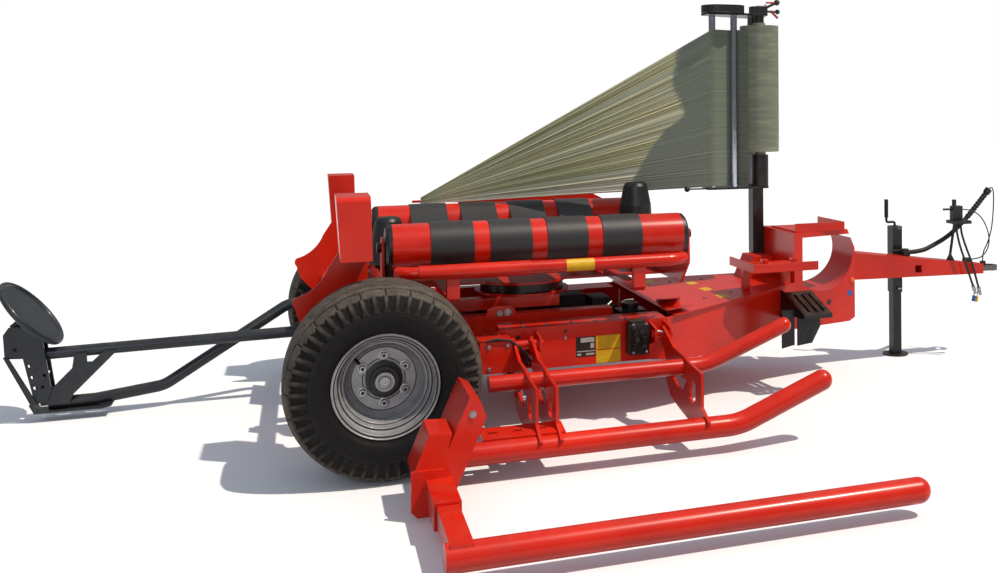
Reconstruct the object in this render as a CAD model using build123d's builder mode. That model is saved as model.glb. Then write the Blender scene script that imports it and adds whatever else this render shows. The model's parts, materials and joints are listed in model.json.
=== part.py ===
from build123d import *
import os
from math import acos, atan2, cos, sin, tan

os.makedirs("parts", exist_ok=True)

# Trailed turntable wrapper for round bales. Sizes in millimetres.
# +X forward to the tow eye, +Y left, +Z up, measured from the ground under the axle's centre.
# The finished pieces are moved at the end so that the origin is under the middle of the whole.

# Wheels and axle
wheel_radius = 416.0
track = 1960.0
tyre_width = 470.0
tread_width = 400.0
rim_radius = 212.0
flange_radius = 224.0
rim_width = 396.0
disc_recess = 150.0
stud_circle = 205.0
stud_count = 6
hub_radius = 80.0
cap_radius = 36.0
axle_side = 100.0
spindle_radius = 32.0
running_gap = 0.05

# Main frame
pan_half = 600.0
pan_rear_x = 520.0
pan_bend_x = 1440.0
pan_front_x = 2340.0
pan_front_half = 235.0
pan_top = 500.0
pan_bottom = 292.0
pan_front_top = 562.0
pan_front_bottom = 300.0
plate = 8.0
flange = 180.0
rail_half = 300.0
rail_width = 80.0
rail_bottom = 423.0
rail_top = 523.0
rail_front_x = 1220.0
rail_rear_x = -330.0

# Headstock, drawbar and tow eye
head_front_x = 2790.0
head_front_half = 128.0
head_front_top = 735.0
head_top = 850.0
head_slope_x = 2735.0
head_bottom = 300.0
head_hole_radius = 222.0
head_hole_x = 2552.0
head_hole_z = 720.0
head_hole_top = 822.0
head_hole_rear = 2400.0
drawbar_end_x = 3765.0
drawbar_rear_height = 165.0
drawbar_front_height = 62.0
drawbar_rear_width = 180.0
drawbar_front_width = 80.0
drawbar_rear_z = 617.0
drawbar_front_z = 542.0
drawbar_hole_x = 3270.0
drawbar_hole_z = 570.0
drawbar_hole_side = 47.0
eye_x = 3838.0
eye_radius = 25.5
eye_outer = 48.0
eye_thick = 32.0

# Parking jack
jack_x = 3230.0
jack_y = 150.0
jack_side = 68.0
jack_wall = 5.0
jack_top = 815.0
jack_sleeve_bottom = 400.0
seat_gap = 0.3
foot_radius = 80.0
foot_thick = 8.0

# Tipping frame, hinged behind the axle
tip_x = -200.0
tip_z = 610.0
tip_tube_radius = 38.0
tip_beam_y = 190.0
tip_beam_width = 70.0
tip_beam_height = 60.0
tip_beam_z = 562.0
tip_plate = 12.0
fin_y = 690.0
fin_thick = 12.0
horn_rear_x = -172.0
horn_front_x = -38.0
horn_bottom = 915.0
horn_top = 1200.0
horn_outer_y = 950.0
horn_rear_lean = 19.0
horn_front_lean = 7.0
horn_round = 28.0

# Turntable
table_x = 800.0
ring_radius = 225.0
ring_height = 46.0
deck_thick = 14.0
roller_radius = 110.0
roller_y = 520.0
roller_z = 920.0
belt_sag = 72.0
roller_rear_x = 42.0
roller_front_x = 1558.0
cap_length = 30.0
belt_width = 205.0
belt_pitch = 283.0
belt_thick = 5.0
belt_count = 4
belt_middle_x = 775.0
guard_radius = 32.0
guard_sleeve_radius = 36.0
guard_sleeve_x = 712.0
guard_y = 700.0
guard_z = 812.0
guard_rear_x = 50.0
guard_front_x = 1550.0
guard_bend = 110.0
cone_x = (95.0, 1455.0)
cone_top = (1016.0, 1161.0)
cone_base_z = 789.0
cone_base_radius = 118.0
cone_mid_radius = 89.0
cone_top_radius = 64.0

# Loader on the right side, lifted about a pivot that runs fore and aft
lift_y = -672.0
lift_z = 436.0
lift_pin_radius = 20.0
inner_tube_radius = 38.0
inner_tube_y = -1000.0
inner_tube_z = 340.0
outer_tube_radius = 49.0
outer_tube_y = -1280.0
outer_tube_z = 122.0
slide_tube_radius = 50.0
slide_tube_y = -2250.0
slide_tube_z = 98.0
rib_thick = 14.0
strip_x = (384.0, 744.0)
sleeve_side = 100.0
slide_side = 80.0
slide_x = 163.0
slide_z = 108.0
slide_gap = 0.3
channel_inner_y = -1270.0
channel_outer_y = -1620.0
channel_joint_x = 205.0
sleeve_length = 280.0
outer_tube_start_x = 262.0

# Film mast
mast_x = 2120.0
mast_y = 120.0
mast_top = 2150.0
latch_rise = 84.0
column_x = 2300.0
column_y = 228.0
pedestal_x = (2150.0, 2338.0)
pedestal_y = (60.0, 232.0)
stretch_bottom = 1110.0
stretch_top = 2130.0
stretch_radius = 20.0
film_width = 750.0
film_radius = 116.0
film_x = 2254.0
film_top = 2068.0
film_y = mast_y - 60
film_bottom = film_top - film_width
core_stand = 20.0
core_bore = 30.0
mast_base_top = 690.0
web_thick = 3.0
web_end = Vector(325.0, 640.0, 1042.0)

# Tail
tail_plate_thick = 12.0
tail_plate_x = rail_rear_x - tail_plate_thick
tail_end_gap = 12.0
tail_low_z = 84.0
tail_y = 450.0
tail_tube_radius = 30.0
disc_radius = 192.0
disc_edge = 16.0
disc_x = -1638.0
disc_z = 550.0
disc_socket = (-1712.0, 462.0)

# Cylinders: closed length between pins, drawn at rest
pin_radius = 16.0
clevis_half = 38.0
eye_half = 34.0
eye_radius_out = 34.0
tilt_base_x = 1150.0
tilt_base_z = 350.0
tilt_eye_x = 150.0
tilt_eye_z = 540.0
tilt_barrel_length = 620.0
tilt_barrel_radius = 35.0
tilt_rod_radius = 18.0
lift_x = 670.0
lift_base_y = -440.0
lift_base_z = 230.0
lift_eye_y = -800.0
lift_eye_z = 230.0
lift_barrel_length = 230.0
lift_barrel_radius = 32.0
lift_rod_radius = 16.0

# Fittings: valve block, motor, step, trays, hose stay
valve_x = (1215.0, 1320.0)
motor_x = 1330.0
motor_y = -300.0
step_x = (2230.0, 2400.0)
step_flap_x = (2152.0, 2386.0)
step_flap_y = -462.0
tray_z = 688.0
stay_x = 3545.0
stay_y = 0.0
stay_knee = 38.5
holder_z = 840.0
bundle_low_z = 664.0
bundle_radius = 19.0
hose_radius = 7.0
cable_radius = 4.0

# Cover at the front
cover_rear_x = 1480.0
cover_thick = 5.0


def tube_path(points, bend):
    """A line through the points with every corner rounded to the same bend."""
    return FilletPolyline(*points, radius=bend) if len(points) > 2 else Polyline(*points)


def hose_path(points):
    """Straight runs joined by arcs, each as wide as the shorter run beside it allows."""
    corners = [Vector(*point) for point in points]
    radii = []
    for before, here, after in zip(corners, corners[1:], corners[2:]):
        run_in = here - before
        run_out = after - here
        turn = acos(max(-1.0, min(1.0, run_in.normalized().dot(run_out.normalized()))))
        radii.append(0.45 * min(run_in.length, run_out.length) / tan(turn / 2))
    return FilletPolyline(*points, radius=radii)


def drawbar_top(x):
    """Height of the tapering drawbar's top face."""
    share = (x - head_front_x) / (drawbar_end_x - head_front_x)
    rear_top = drawbar_rear_z + drawbar_rear_height / 2
    return rear_top + share * (drawbar_front_z + drawbar_front_height / 2 - rear_top)


def section_at(path):
    """The plane square to a path at its start."""
    return Plane(origin=path @ 0, z_dir=path % 0)


# Wheels, one on each side of the axle
wheel_y = track / 2
tyre_half = tyre_width / 2
tread_half = tread_width / 2
rim_half = rim_width / 2
disc_y = wheel_y + rim_half - disc_recess


def wheel_plane(side):
    """Axle-centred plane whose local x is outwards along the axle and local y is radial."""
    return Plane(origin=(0, side * wheel_y, wheel_radius), x_dir=(0, side, 0), z_dir=(side, 0, 0))


def axle_axis(side):
    return Axis((0, side * wheel_y, wheel_radius), (0, 1, 0))


pieces = {}
for side, name in ((1, "left"), (-1, "right")):
    with BuildPart() as tyre:
        with BuildSketch(wheel_plane(side)):
            with BuildLine():
                Polyline(
                    (-rim_half + 14, rim_radius),
                    (-rim_half + 14, flange_radius + 2),
                    (-tyre_half + 12, flange_radius + 12),
                    (-tyre_half, rim_radius + 84),
                    (-tyre_half + 8, rim_radius + 134),
                    (-tread_half, wheel_radius - 26),
                    (-tread_half + 60, wheel_radius - 6),
                    (-tread_half + 120, wheel_radius),
                    (tread_half - 120, wheel_radius),
                    (tread_half - 60, wheel_radius - 6),
                    (tread_half, wheel_radius - 26),
                    (tyre_half - 8, rim_radius + 134),
                    (tyre_half, rim_radius + 84),
                    (tyre_half - 12, flange_radius + 12),
                    (rim_half - 14, flange_radius + 2),
                    (rim_half - 14, rim_radius),
                    close=True,
                )
            make_face()
        revolve(axis=axle_axis(side))
    pieces["tyre_" + name] = tyre

    with BuildPart() as rim:
        with BuildSketch(wheel_plane(side)):
            with BuildLine():
                Polyline(
                    (-rim_half, flange_radius),
                    (-rim_half, rim_radius - 8),
                    (-rim_half + 60, rim_radius - 8),
                    (-rim_half + 90, rim_radius - 34),
                    (rim_half - disc_recess - 12, rim_radius - 34),
                    (rim_half - disc_recess - 12, spindle_radius + 22),
                    (rim_half - disc_recess, spindle_radius + 22),
                    (rim_half - disc_recess, rim_radius - 72),
                    (rim_half - disc_recess + 24, rim_radius - 52),
                    (rim_half - disc_recess + 74, rim_radius - 42),
                    (rim_half - disc_recess + 74, rim_radius - 32),
                    (rim_half - 46, rim_radius - 26),
                    (rim_half - 46, rim_radius - 16),
                    (rim_half - 30, rim_radius - 8),
                    (rim_half, rim_radius - 8),
                    (rim_half, flange_radius),
                    (rim_half - 8, flange_radius),
                    (rim_half - 12, rim_radius - 0.3),
                    (-rim_half + 12, rim_radius - 0.3),
                    (-rim_half + 8, flange_radius),
                    close=True,
                )
            make_face()
        revolve(axis=axle_axis(side))
    pieces["rim_" + name] = rim

    with BuildPart() as hub:
        with BuildSketch(wheel_plane(side)):
            with BuildLine():
                Polyline(
                    (-110, spindle_radius + running_gap),
                    (-110, hub_radius - 22),
                    (rim_half - disc_recess - 40, hub_radius - 22),
                    (rim_half - disc_recess - 40, hub_radius + 42),
                    (rim_half - disc_recess - 12, hub_radius + 42),
                    (rim_half - disc_recess - 12, spindle_radius + 22),
                    (rim_half - disc_recess + seat_gap, spindle_radius + 22),
                    (rim_half - disc_recess + seat_gap, hub_radius - 2),
                    (rim_half - disc_recess + 16, hub_radius - 2),
                    (rim_half - disc_recess + 20, spindle_radius + 26),
                    (rim_half - disc_recess + 36, spindle_radius + 26),
                    (rim_half - disc_recess + 36, cap_radius),
                    (rim_half - disc_recess + 62, cap_radius - 6),
                    (rim_half - disc_recess + 70, cap_radius - 16),
                    (rim_half - disc_recess + 70, 0),
                    (rim_half - disc_recess + 30, 0),
                    (rim_half - disc_recess + 30, spindle_radius + running_gap),
                    close=True,
                )
            make_face()
        revolve(axis=axle_axis(side))
        stud_face = Plane(
            origin=(0, side * disc_y, wheel_radius), x_dir=(1, 0, 0), z_dir=(0, side, 0)
        )
        with BuildSketch(stud_face):
            with PolarLocations(stud_circle / 2, stud_count, start_angle=30):
                RegularPolygon(14, 6)
        extrude(amount=20)
    pieces["hub_" + name] = hub

with BuildPart() as axle_beam:
    beam_half = wheel_y - 130
    with BuildSketch(Plane.XZ.offset(-beam_half)):
        with Locations((0, wheel_radius)):
            RectangleRounded(axle_side, axle_side, 10)
    extrude(amount=2 * beam_half)
    for side in (1, -1):
        spindle_plane = Plane(
            origin=(0, side * beam_half, wheel_radius), x_dir=(1, 0, 0), z_dir=(0, side, 0)
        )
        with BuildSketch(spindle_plane):
            Circle(spindle_radius)
        extrude(amount=wheel_y + rim_half - disc_recess + 26 - beam_half)
pieces["axle_beam"] = axle_beam

# Main frame: an open tray of folded plate that narrows forward to the headstock.
tray_outline = [
    (pan_rear_x, -pan_half), (pan_bend_x, -pan_half), (pan_front_x, -pan_front_half),
    (pan_front_x, pan_front_half), (pan_bend_x, pan_half), (pan_rear_x, pan_half),
]
side_profile = [
    (pan_rear_x, pan_bottom), (pan_rear_x, pan_top - 50), (pan_rear_x + 60, pan_top),
    (pan_bend_x, pan_top), (pan_front_x, pan_front_top), (pan_front_x, pan_front_bottom),
    (pan_bend_x + 480, pan_bottom - 30), (pan_bend_x + 180, pan_bottom - 30),
    (pan_bend_x - 100, pan_bottom),
]
with BuildPart() as main_frame:
    with BuildSketch(Plane.XY.offset(pan_bottom - 40)):
        with BuildLine():
            Polyline(*tray_outline, close=True)
        make_face()
        offset(amount=-plate, mode=Mode.SUBTRACT)
    extrude(amount=360)
    with BuildSketch(Plane.XZ.offset(-pan_half - 10)):
        with BuildLine():
            Polyline(*side_profile, close=True)
        make_face()
    extrude(amount=2 * pan_half + 20, mode=Mode.INTERSECT)
    # floor
    with BuildSketch(Plane.XY.offset(pan_bottom)):
        with BuildLine():
            Polyline(*tray_outline, close=True)
        make_face()
    extrude(amount=plate)
    # rolled top flanges, turned inwards
    for side in (1, -1):
        with BuildSketch(Plane.XZ.offset(-side * pan_half)):
            with BuildLine():
                Polyline(
                    (pan_rear_x + 60, pan_top), (pan_bend_x, pan_top),
                    (pan_bend_x, pan_top - plate), (pan_rear_x + 60, pan_top - plate), close=True,
                )
            make_face()
        extrude(amount=side * flange)
    # notch in the rear edge for the tipping cylinder
    with Locations((pan_rear_x, 0, pan_top - 40)):
        Box(60, 3 * clevis_half, 120, mode=Mode.SUBTRACT)
    # notch in the side and slot in the floor for the lift cylinder when it swings up
    with Locations((lift_x, -pan_half, pan_bottom + 26)):
        Box(2 * clevis_half + 54, 60, 148, mode=Mode.SUBTRACT)
    with Locations((lift_x, (lift_base_y - 30 - pan_half) / 2, pan_bottom)):
        Box(2 * clevis_half, pan_half + lift_base_y - 30, 60, mode=Mode.SUBTRACT)
    # rear rails over the axle
    for side in (1, -1):
        with BuildSketch(Plane.XZ.offset(-side * rail_half - rail_width / 2)):
            with BuildLine():
                Polyline(
                    (rail_rear_x, rail_bottom), (rail_rear_x, rail_top),
                    (rail_front_x, rail_top), (rail_front_x, rail_top - 60),
                    (rail_front_x - 80, pan_bottom + plate), (pan_rear_x, pan_bottom + plate),
                    (pan_rear_x - 60, rail_bottom), close=True,
                )
            make_face()
        extrude(amount=rail_width)
        with Locations((0, side * rail_half, wheel_radius)):
            Box(axle_side, rail_width + 2, axle_side, mode=Mode.SUBTRACT)
    # clevis of the tipping cylinder on the floor
    for side in (1, -1):
        with BuildSketch(Plane.XZ.offset(-side * clevis_half)):
            with BuildLine():
                Polyline(
                    (tilt_base_x - 60, pan_bottom + plate), (tilt_base_x - 26, tilt_base_z + 24),
                    (tilt_base_x + 26, tilt_base_z + 24), (tilt_base_x + 60, pan_bottom + plate),
                    close=True,
                )
            make_face()
        extrude(amount=side * -plate)
    with Locations((tilt_base_x, 0, tilt_base_z)):
        Cylinder(pin_radius, 2 * clevis_half + 2, rotation=(90, 0, 0))
    # clevis of the lift cylinder under the floor
    for side in (1, -1):
        with BuildSketch(Plane.YZ.offset(lift_x + side * clevis_half)):
            with BuildLine():
                Polyline(
                    (lift_base_y - 60, pan_bottom), (lift_base_y - 26, lift_base_z - 24),
                    (lift_base_y + 26, lift_base_z - 24), (lift_base_y + 60, pan_bottom),
                    close=True,
                )
            make_face()
        extrude(amount=side * plate)
    with Locations((lift_x, lift_base_y, lift_base_z)):
        Cylinder(pin_radius, 2 * clevis_half + 2, rotation=(0, 90, 0))
pieces["main_frame"] = main_frame

# Tip bearings: lugs at the rear end of the rails that carry the hinge of the tipping frame.
with BuildPart() as tip_bearings:
    for side in (1, -1):
        with BuildSketch(Plane.XZ.offset(-side * rail_half - plate)):
            with BuildLine():
                Polyline(
                    (tip_x - 90, rail_top), (tip_x - 34, tip_z + 60), (tip_x + 34, tip_z + 60),
                    (tip_x + 90, rail_top), close=True,
                )
            make_face()
            with Locations((tip_x, tip_z)):
                Circle(tip_tube_radius + running_gap, mode=Mode.SUBTRACT)
        extrude(amount=2 * plate)
pieces["tip_bearings"] = tip_bearings

# Headstock: a closed box that narrows forward, pierced by a tunnel with a flat top.
with BuildPart() as headstock:
    with BuildSketch(Plane.XY.offset(head_bottom)):
        with BuildLine():
            Polyline(
                (pan_front_x, -pan_front_half), (head_front_x, -head_front_half),
                (head_front_x, head_front_half), (pan_front_x, pan_front_half), close=True,
            )
        make_face()
    extrude(amount=head_top - head_bottom)
    with BuildSketch(Plane.XZ.offset(-pan_front_half - 1)):
        with BuildLine():
            Polyline(
                (pan_front_x, head_bottom), (pan_front_x, head_top), (head_slope_x, head_top),
                (head_front_x, head_front_top), (head_front_x, head_bottom + 20),
                (head_front_x - 40, head_bottom), close=True,
            )
        make_face()
    extrude(amount=2 * pan_front_half + 2, mode=Mode.INTERSECT)
    with BuildSketch(Plane.XZ.offset(-pan_front_half - 1)):
        with Locations((head_hole_x, head_hole_z)):
            Circle(head_hole_radius)
        with Locations((head_hole_rear + head_hole_radius, head_hole_top - head_hole_radius)):
            Rectangle(2 * head_hole_radius, 2 * head_hole_radius, mode=Mode.INTERSECT)
    extrude(amount=2 * pan_front_half + 2, mode=Mode.SUBTRACT)
pieces["headstock"] = headstock

# Drawbar: a box beam that tapers both ways to the tow eye.
drawbar_length = drawbar_end_x - head_front_x
with BuildPart() as drawbar:
    with BuildSketch(Plane.YZ.offset(head_front_x)):
        with Locations((0, drawbar_rear_z)):
            Rectangle(drawbar_rear_width, drawbar_rear_height)
    with BuildSketch(Plane.YZ.offset(drawbar_end_x)):
        with Locations((0, drawbar_front_z)):
            Rectangle(drawbar_front_width, drawbar_front_height)
    loft()
    with Locations((drawbar_hole_x, 0, drawbar_hole_z)):
        Box(drawbar_hole_side, drawbar_rear_width, drawbar_hole_side, mode=Mode.SUBTRACT)
pieces["drawbar"] = drawbar

with BuildPart() as tow_eye:
    with BuildSketch(Plane.XY.offset(drawbar_front_z - eye_thick / 2)):
        with Locations((eye_x, 0)):
            Circle(eye_outer)
        with BuildLine():
            Polyline(
                (drawbar_end_x, -eye_outer + 10), (eye_x, -eye_outer + 10),
                (eye_x, eye_outer - 10), (drawbar_end_x, eye_outer - 10), close=True,
            )
        make_face()
        with Locations((eye_x, 0)):
            Circle(eye_radius, mode=Mode.SUBTRACT)
    extrude(amount=eye_thick)
pieces["tow_eye"] = tow_eye

# Parking jack on the left side of the drawbar
with BuildPart() as jack_sleeve:
    with BuildSketch(Plane.XY.offset(jack_sleeve_bottom)):
        with Locations((jack_x, jack_y)):
            Rectangle(jack_side, jack_side)
            Rectangle(jack_side - 2 * jack_wall, jack_side - 2 * jack_wall, mode=Mode.SUBTRACT)
    extrude(amount=jack_top - jack_sleeve_bottom)
    with BuildSketch(Plane.XY.offset(jack_top)):
        with Locations((jack_x, jack_y)):
            Rectangle(jack_side, jack_side)
    extrude(amount=jack_wall)
    # mounting plate against the drawbar's side
    share = (jack_x - jack_side / 2 - 30 - head_front_x) / drawbar_length
    side_here = (drawbar_rear_width + share * (drawbar_front_width - drawbar_rear_width)) / 2
    with Locations((jack_x, (side_here + jack_y - jack_side / 2) / 2, drawbar_rear_z - 20)):
        Box(jack_side + 60, jack_y - jack_side / 2 - side_here, 150)
pieces["jack_sleeve"] = jack_sleeve

jack_inner_side = jack_side - 2 * jack_wall - 2 * seat_gap
with BuildPart() as jack_foot:
    with BuildSketch():
        with Locations((jack_x, jack_y)):
            Circle(foot_radius)
    extrude(amount=foot_thick)
    with BuildSketch(Plane.XY.offset(foot_thick)):
        with Locations((jack_x, jack_y)):
            Rectangle(jack_inner_side, jack_inner_side)
    extrude(amount=jack_sleeve_bottom + 160 - foot_thick)
pieces["jack_foot"] = jack_foot

crank_x = jack_x - 60
crank_path = tube_path(
    [
        (jack_x, jack_y, jack_top + jack_wall), (jack_x, jack_y, jack_top + 30),
        (crank_x, jack_y, jack_top + 30), (crank_x, jack_y, jack_top + 100),
    ],
    12,
)
with BuildPart() as jack_crank:
    with BuildSketch(section_at(crank_path)):
        Circle(8)
    sweep(path=crank_path)
    with BuildSketch(Plane.XY.offset(jack_top + 60)):
        with Locations((crank_x, jack_y)):
            Circle(13)
    extrude(amount=115)
pieces["jack_crank"] = jack_crank

# Deck cover over the front of the tray
with BuildPart() as deck_cover:
    with BuildSketch(Plane.XY.offset(pan_top)):
        with BuildLine():
            Polyline(
                (cover_rear_x, -pan_half), (cover_rear_x, pan_half), (pan_bend_x + 60, pan_half),
                (pan_front_x, pan_front_half), (pan_front_x, -pan_front_half),
                (pan_bend_x + 60, -pan_half), close=True,
            )
        make_face()
    extrude(amount=160)
    slope = (pan_front_top - pan_top) / (pan_front_x - pan_bend_x)
    cover_rear_z = pan_top + slope * (cover_rear_x - pan_bend_x)
    with BuildSketch(Plane.XZ.offset(-pan_half - 10)):
        with BuildLine():
            Polyline(
                (cover_rear_x, cover_rear_z), (pan_front_x, pan_front_top),
                (pan_front_x, pan_front_top + cover_thick),
                (cover_rear_x, cover_rear_z + cover_thick), close=True,
            )
        make_face()
    extrude(amount=2 * pan_half + 20, mode=Mode.INTERSECT)
pieces["deck_cover"] = deck_cover

# Tipping frame: cross tube on the hinge, two beams forward, a ring plate and side fins.
beam_top = tip_beam_z + tip_beam_height / 2
ring_seat = beam_top + tip_plate
with BuildPart() as tip_frame:
    with BuildSketch(Plane.XZ.offset(-fin_y)):
        with Locations((tip_x, tip_z)):
            Circle(tip_tube_radius)
    extrude(amount=2 * fin_y)
    for side in (1, -1):
        with Locations(((tip_x + table_x + 160) / 2, side * tip_beam_y, tip_beam_z)):
            Box(table_x + 160 - tip_x, tip_beam_width, tip_beam_height)
    with BuildSketch(Plane.XY.offset(beam_top)):
        with Locations((table_x, 0)):
            Circle(ring_radius + 30)
    extrude(amount=tip_plate)
    # cross plate with two lugs for the tipping cylinder, each with its end of the pin
    with Locations((tilt_eye_x, 0, beam_top + 5)):
        Box(120, 2 * tip_beam_y + tip_beam_width, 10)
    for side in (1, -1):
        with BuildSketch(Plane.XZ.offset(-side * clevis_half)):
            with BuildLine():
                Polyline(
                    (tilt_eye_x - 54, beam_top), (tilt_eye_x - 30, tilt_eye_z - 8),
                    (tilt_eye_x + 30, tilt_eye_z - 8), (tilt_eye_x + 54, beam_top), close=True,
                )
            make_face()
            with Locations((tilt_eye_x, tilt_eye_z)):
                Circle(eye_radius_out)
        extrude(amount=-side * plate)
        with BuildSketch(Plane.XZ.offset(-side * clevis_half)):
            with Locations((tilt_eye_x, tilt_eye_z)):
                Circle(pin_radius)
        extrude(amount=-side * (plate + 14))
pieces["tip_frame"] = tip_frame

# Curved side fins that carry the uprights past the tyres
with BuildPart() as side_fins:
    for side in (1, -1):
        with BuildSketch(Plane.XZ.offset(-side * fin_y - fin_thick / 2)):
            with BuildLine():
                Polyline(
                    (horn_rear_x, horn_bottom + 20), (horn_front_x, horn_bottom + 20),
                    (horn_front_x - 12, 760), (-100, 640), (-130, 540), (-270, 540), (-344, 620),
                    (-366, 690),
                )
                ThreePointArc((-366, 690), (-374, 716), (-350, 735))
                ThreePointArc((-350, 735), (-262, 792), (-220, 860))
                Line((-220, 860), (horn_rear_x, horn_bottom + 20))
            make_face()
            with Locations((tip_x, tip_z)):
                Circle(tip_tube_radius + 0.2, mode=Mode.SUBTRACT)
        extrude(amount=fin_thick)
pieces["side_fins"] = side_fins

# Rear uprights: box stands with rounded outer tops, leaning back
with BuildPart() as rear_uprights:
    for side in (1, -1):
        with BuildSketch(Plane.XZ.offset(-side * (fin_y + fin_thick / 2))):
            with BuildLine():
                Polyline(
                    (horn_rear_x, horn_bottom), (horn_rear_x - horn_rear_lean, horn_top),
                    (horn_front_x - horn_front_lean, horn_top), (horn_front_x, horn_bottom),
                    close=True,
                )
            make_face()
        extrude(amount=-side * (horn_outer_y - fin_y - fin_thick / 2))
    outer_tops = [
        edge for edge in rear_uprights.edges()
        if abs(edge.center().Y) > horn_outer_y - 1 and edge.center().Z > horn_top - 1
    ]
    fillet(outer_tops, radius=horn_round)
pieces["rear_uprights"] = rear_uprights

with BuildPart() as slew_ring:
    with BuildSketch(Plane.XY.offset(ring_seat)):
        with Locations((table_x, 0)):
            Circle(ring_radius)
            Circle(ring_radius - 60, mode=Mode.SUBTRACT)
    extrude(amount=ring_height)
pieces["slew_ring"] = slew_ring

# Turntable frame: deck plate, cross beams and the end plates that hold the rollers
deck_z = ring_seat + ring_height + 0.3
end_plate = 12.0
end_gap = 6.0
with BuildPart() as table_frame:
    with BuildSketch(Plane.XY.offset(deck_z)):
        with Locations((table_x, 0)):
            Circle(ring_radius + 20)
            Rectangle(roller_front_x - roller_rear_x + 2 * end_gap, 240)
    extrude(amount=deck_thick)
    for x in (roller_rear_x - end_gap - end_plate, roller_front_x + end_gap):
        with BuildSketch(Plane.YZ.offset(x)):
            with BuildLine():
                Polyline(
                    (-roller_y - 60, deck_z + 124), (-roller_y + 60, deck_z + 4), (-roller_y + 64, deck_z),
                    (roller_y - 64, deck_z), (roller_y - 60, deck_z + 4),
                    (roller_y + 60, deck_z + 124), (roller_y + 52, roller_z + 20),
                    (roller_y - 52, roller_z + 20), (roller_y - 90, deck_z + 110),
                    (-roller_y + 90, deck_z + 110), (-roller_y + 52, roller_z + 20),
                    (-roller_y - 52, roller_z + 20), close=True,
                )
            make_face()
            with Locations((roller_y, roller_z), (-roller_y, roller_z)):
                Circle(52)
                Circle(24.2, mode=Mode.SUBTRACT)
        extrude(amount=end_plate)
pieces["table_frame"] = table_frame

# Rollers with rounded black end caps
with BuildPart() as rollers:
    for side in (1, -1):
        with BuildSketch(Plane.YZ.offset(roller_rear_x + cap_length)):
            with Locations((side * roller_y, roller_z)):
                Circle(roller_radius)
        extrude(amount=roller_front_x - roller_rear_x - 2 * cap_length)
pieces["rollers"] = rollers

with BuildPart() as roller_caps:
    for side in (1, -1):
        for x, way in ((roller_rear_x + cap_length, -1), (roller_front_x - cap_length, 1)):
            with BuildSketch(Plane.XZ.offset(-side * roller_y)):
                with BuildLine():
                    Polyline(
                        (x, roller_z), (x, roller_z + roller_radius - 1),
                        (x + way * (cap_length - 12), roller_z + roller_radius - 3),
                        (x + way * cap_length, roller_z + roller_radius - 16),
                        (x + way * cap_length, roller_z + 24),
                        (x + way * (cap_length + end_gap + end_plate + 20), roller_z + 24),
                        (x + way * (cap_length + end_gap + end_plate + 20), roller_z), close=True,
                    )
                make_face()
            revolve(axis=Axis((x, side * roller_y, roller_z), (1, 0, 0)))
pieces["roller_caps"] = roller_caps

# Belts: closed loops whose top run sags between the rollers in one arc that leaves each roller smoothly
belt_gap = 0.3
belt_mid = roller_radius + belt_gap + belt_thick / 2
sag_radius = (roller_y**2 + belt_sag**2 - belt_mid**2) / (2 * (belt_sag + belt_mid))
leave_y = roller_y / (sag_radius + belt_mid)
leave_z = (sag_radius - belt_sag) / (sag_radius + belt_mid)


def belt_face(radius):
    """Points of the loop at one distance from the roller's centre line."""
    low = roller_z - radius
    sag_low = roller_z - belt_sag + radius - belt_mid
    right = (roller_y - leave_y * radius, roller_z + leave_z * radius)
    left = (-right[0], right[1])
    return low, sag_low, right, left


with BuildPart() as belts:
    for i in range(belt_count):
        x = belt_middle_x + (i - (belt_count - 1) / 2) * belt_pitch
        with BuildSketch(Plane.YZ.offset(x - belt_width / 2)):
            for radius, mode in (
                (roller_radius + belt_gap + belt_thick, Mode.ADD),
                (roller_radius + belt_gap, Mode.SUBTRACT),
            ):
                low, sag_low, right, left = belt_face(radius)
                with BuildLine():
                    Line((-roller_y, low), (roller_y, low))
                    ThreePointArc((roller_y, low), (roller_y + radius, roller_z), right)
                    ThreePointArc(right, (0, sag_low), left)
                    ThreePointArc(left, (-roller_y - radius, roller_z), (-roller_y, low))
                make_face(mode=mode)
        extrude(amount=belt_width)
pieces["belts"] = belts

# Guard tubes outboard of the rollers, ends turned in, each on two arms from the deck
guard_arm_x = (table_x - 460, table_x + 460)
arm_width = 60.0
arm_height = 30.0
guard_paths = {
    side: tube_path(
        [
            (guard_rear_x + 41, side * (guard_y - 47), guard_z),
            (guard_rear_x + 88, side * guard_y, guard_z),
            (guard_front_x - 88, side * guard_y, guard_z),
            (guard_front_x - 41, side * (guard_y - 47), guard_z),
        ],
        guard_bend,
    )
    for side in (1, -1)
}
with BuildPart() as guard_tubes:
    for side, path in guard_paths.items():
        with BuildSketch(section_at(path)):
            Circle(guard_radius)
        sweep(path=path)
        with BuildSketch(Plane.YZ.offset(guard_rear_x + 130)):
            with Locations((side * guard_y, guard_z)):
                Circle(guard_sleeve_radius)
        extrude(amount=guard_sleeve_x - guard_rear_x - 130)
        for x in guard_arm_x:
            with BuildSketch(Plane.YZ.offset(x - arm_width / 2)):
                with BuildLine():
                    Polyline(
                        (side * 120, deck_z + deck_thick),
                        (side * 120, deck_z + deck_thick + arm_height),
                        (side * (guard_y - 40), deck_z + deck_thick + arm_height),
                        (side * (guard_y - 20), guard_z - guard_radius + 6),
                        (side * (guard_y + 14), guard_z - guard_radius + 6),
                        (side * (guard_y + 14), deck_z + deck_thick + 20),
                        (side * (guard_y - 10), deck_z + deck_thick), close=True,
                    )
                make_face()
            extrude(amount=arm_width)
pieces["guard_tubes"] = guard_tubes

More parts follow.
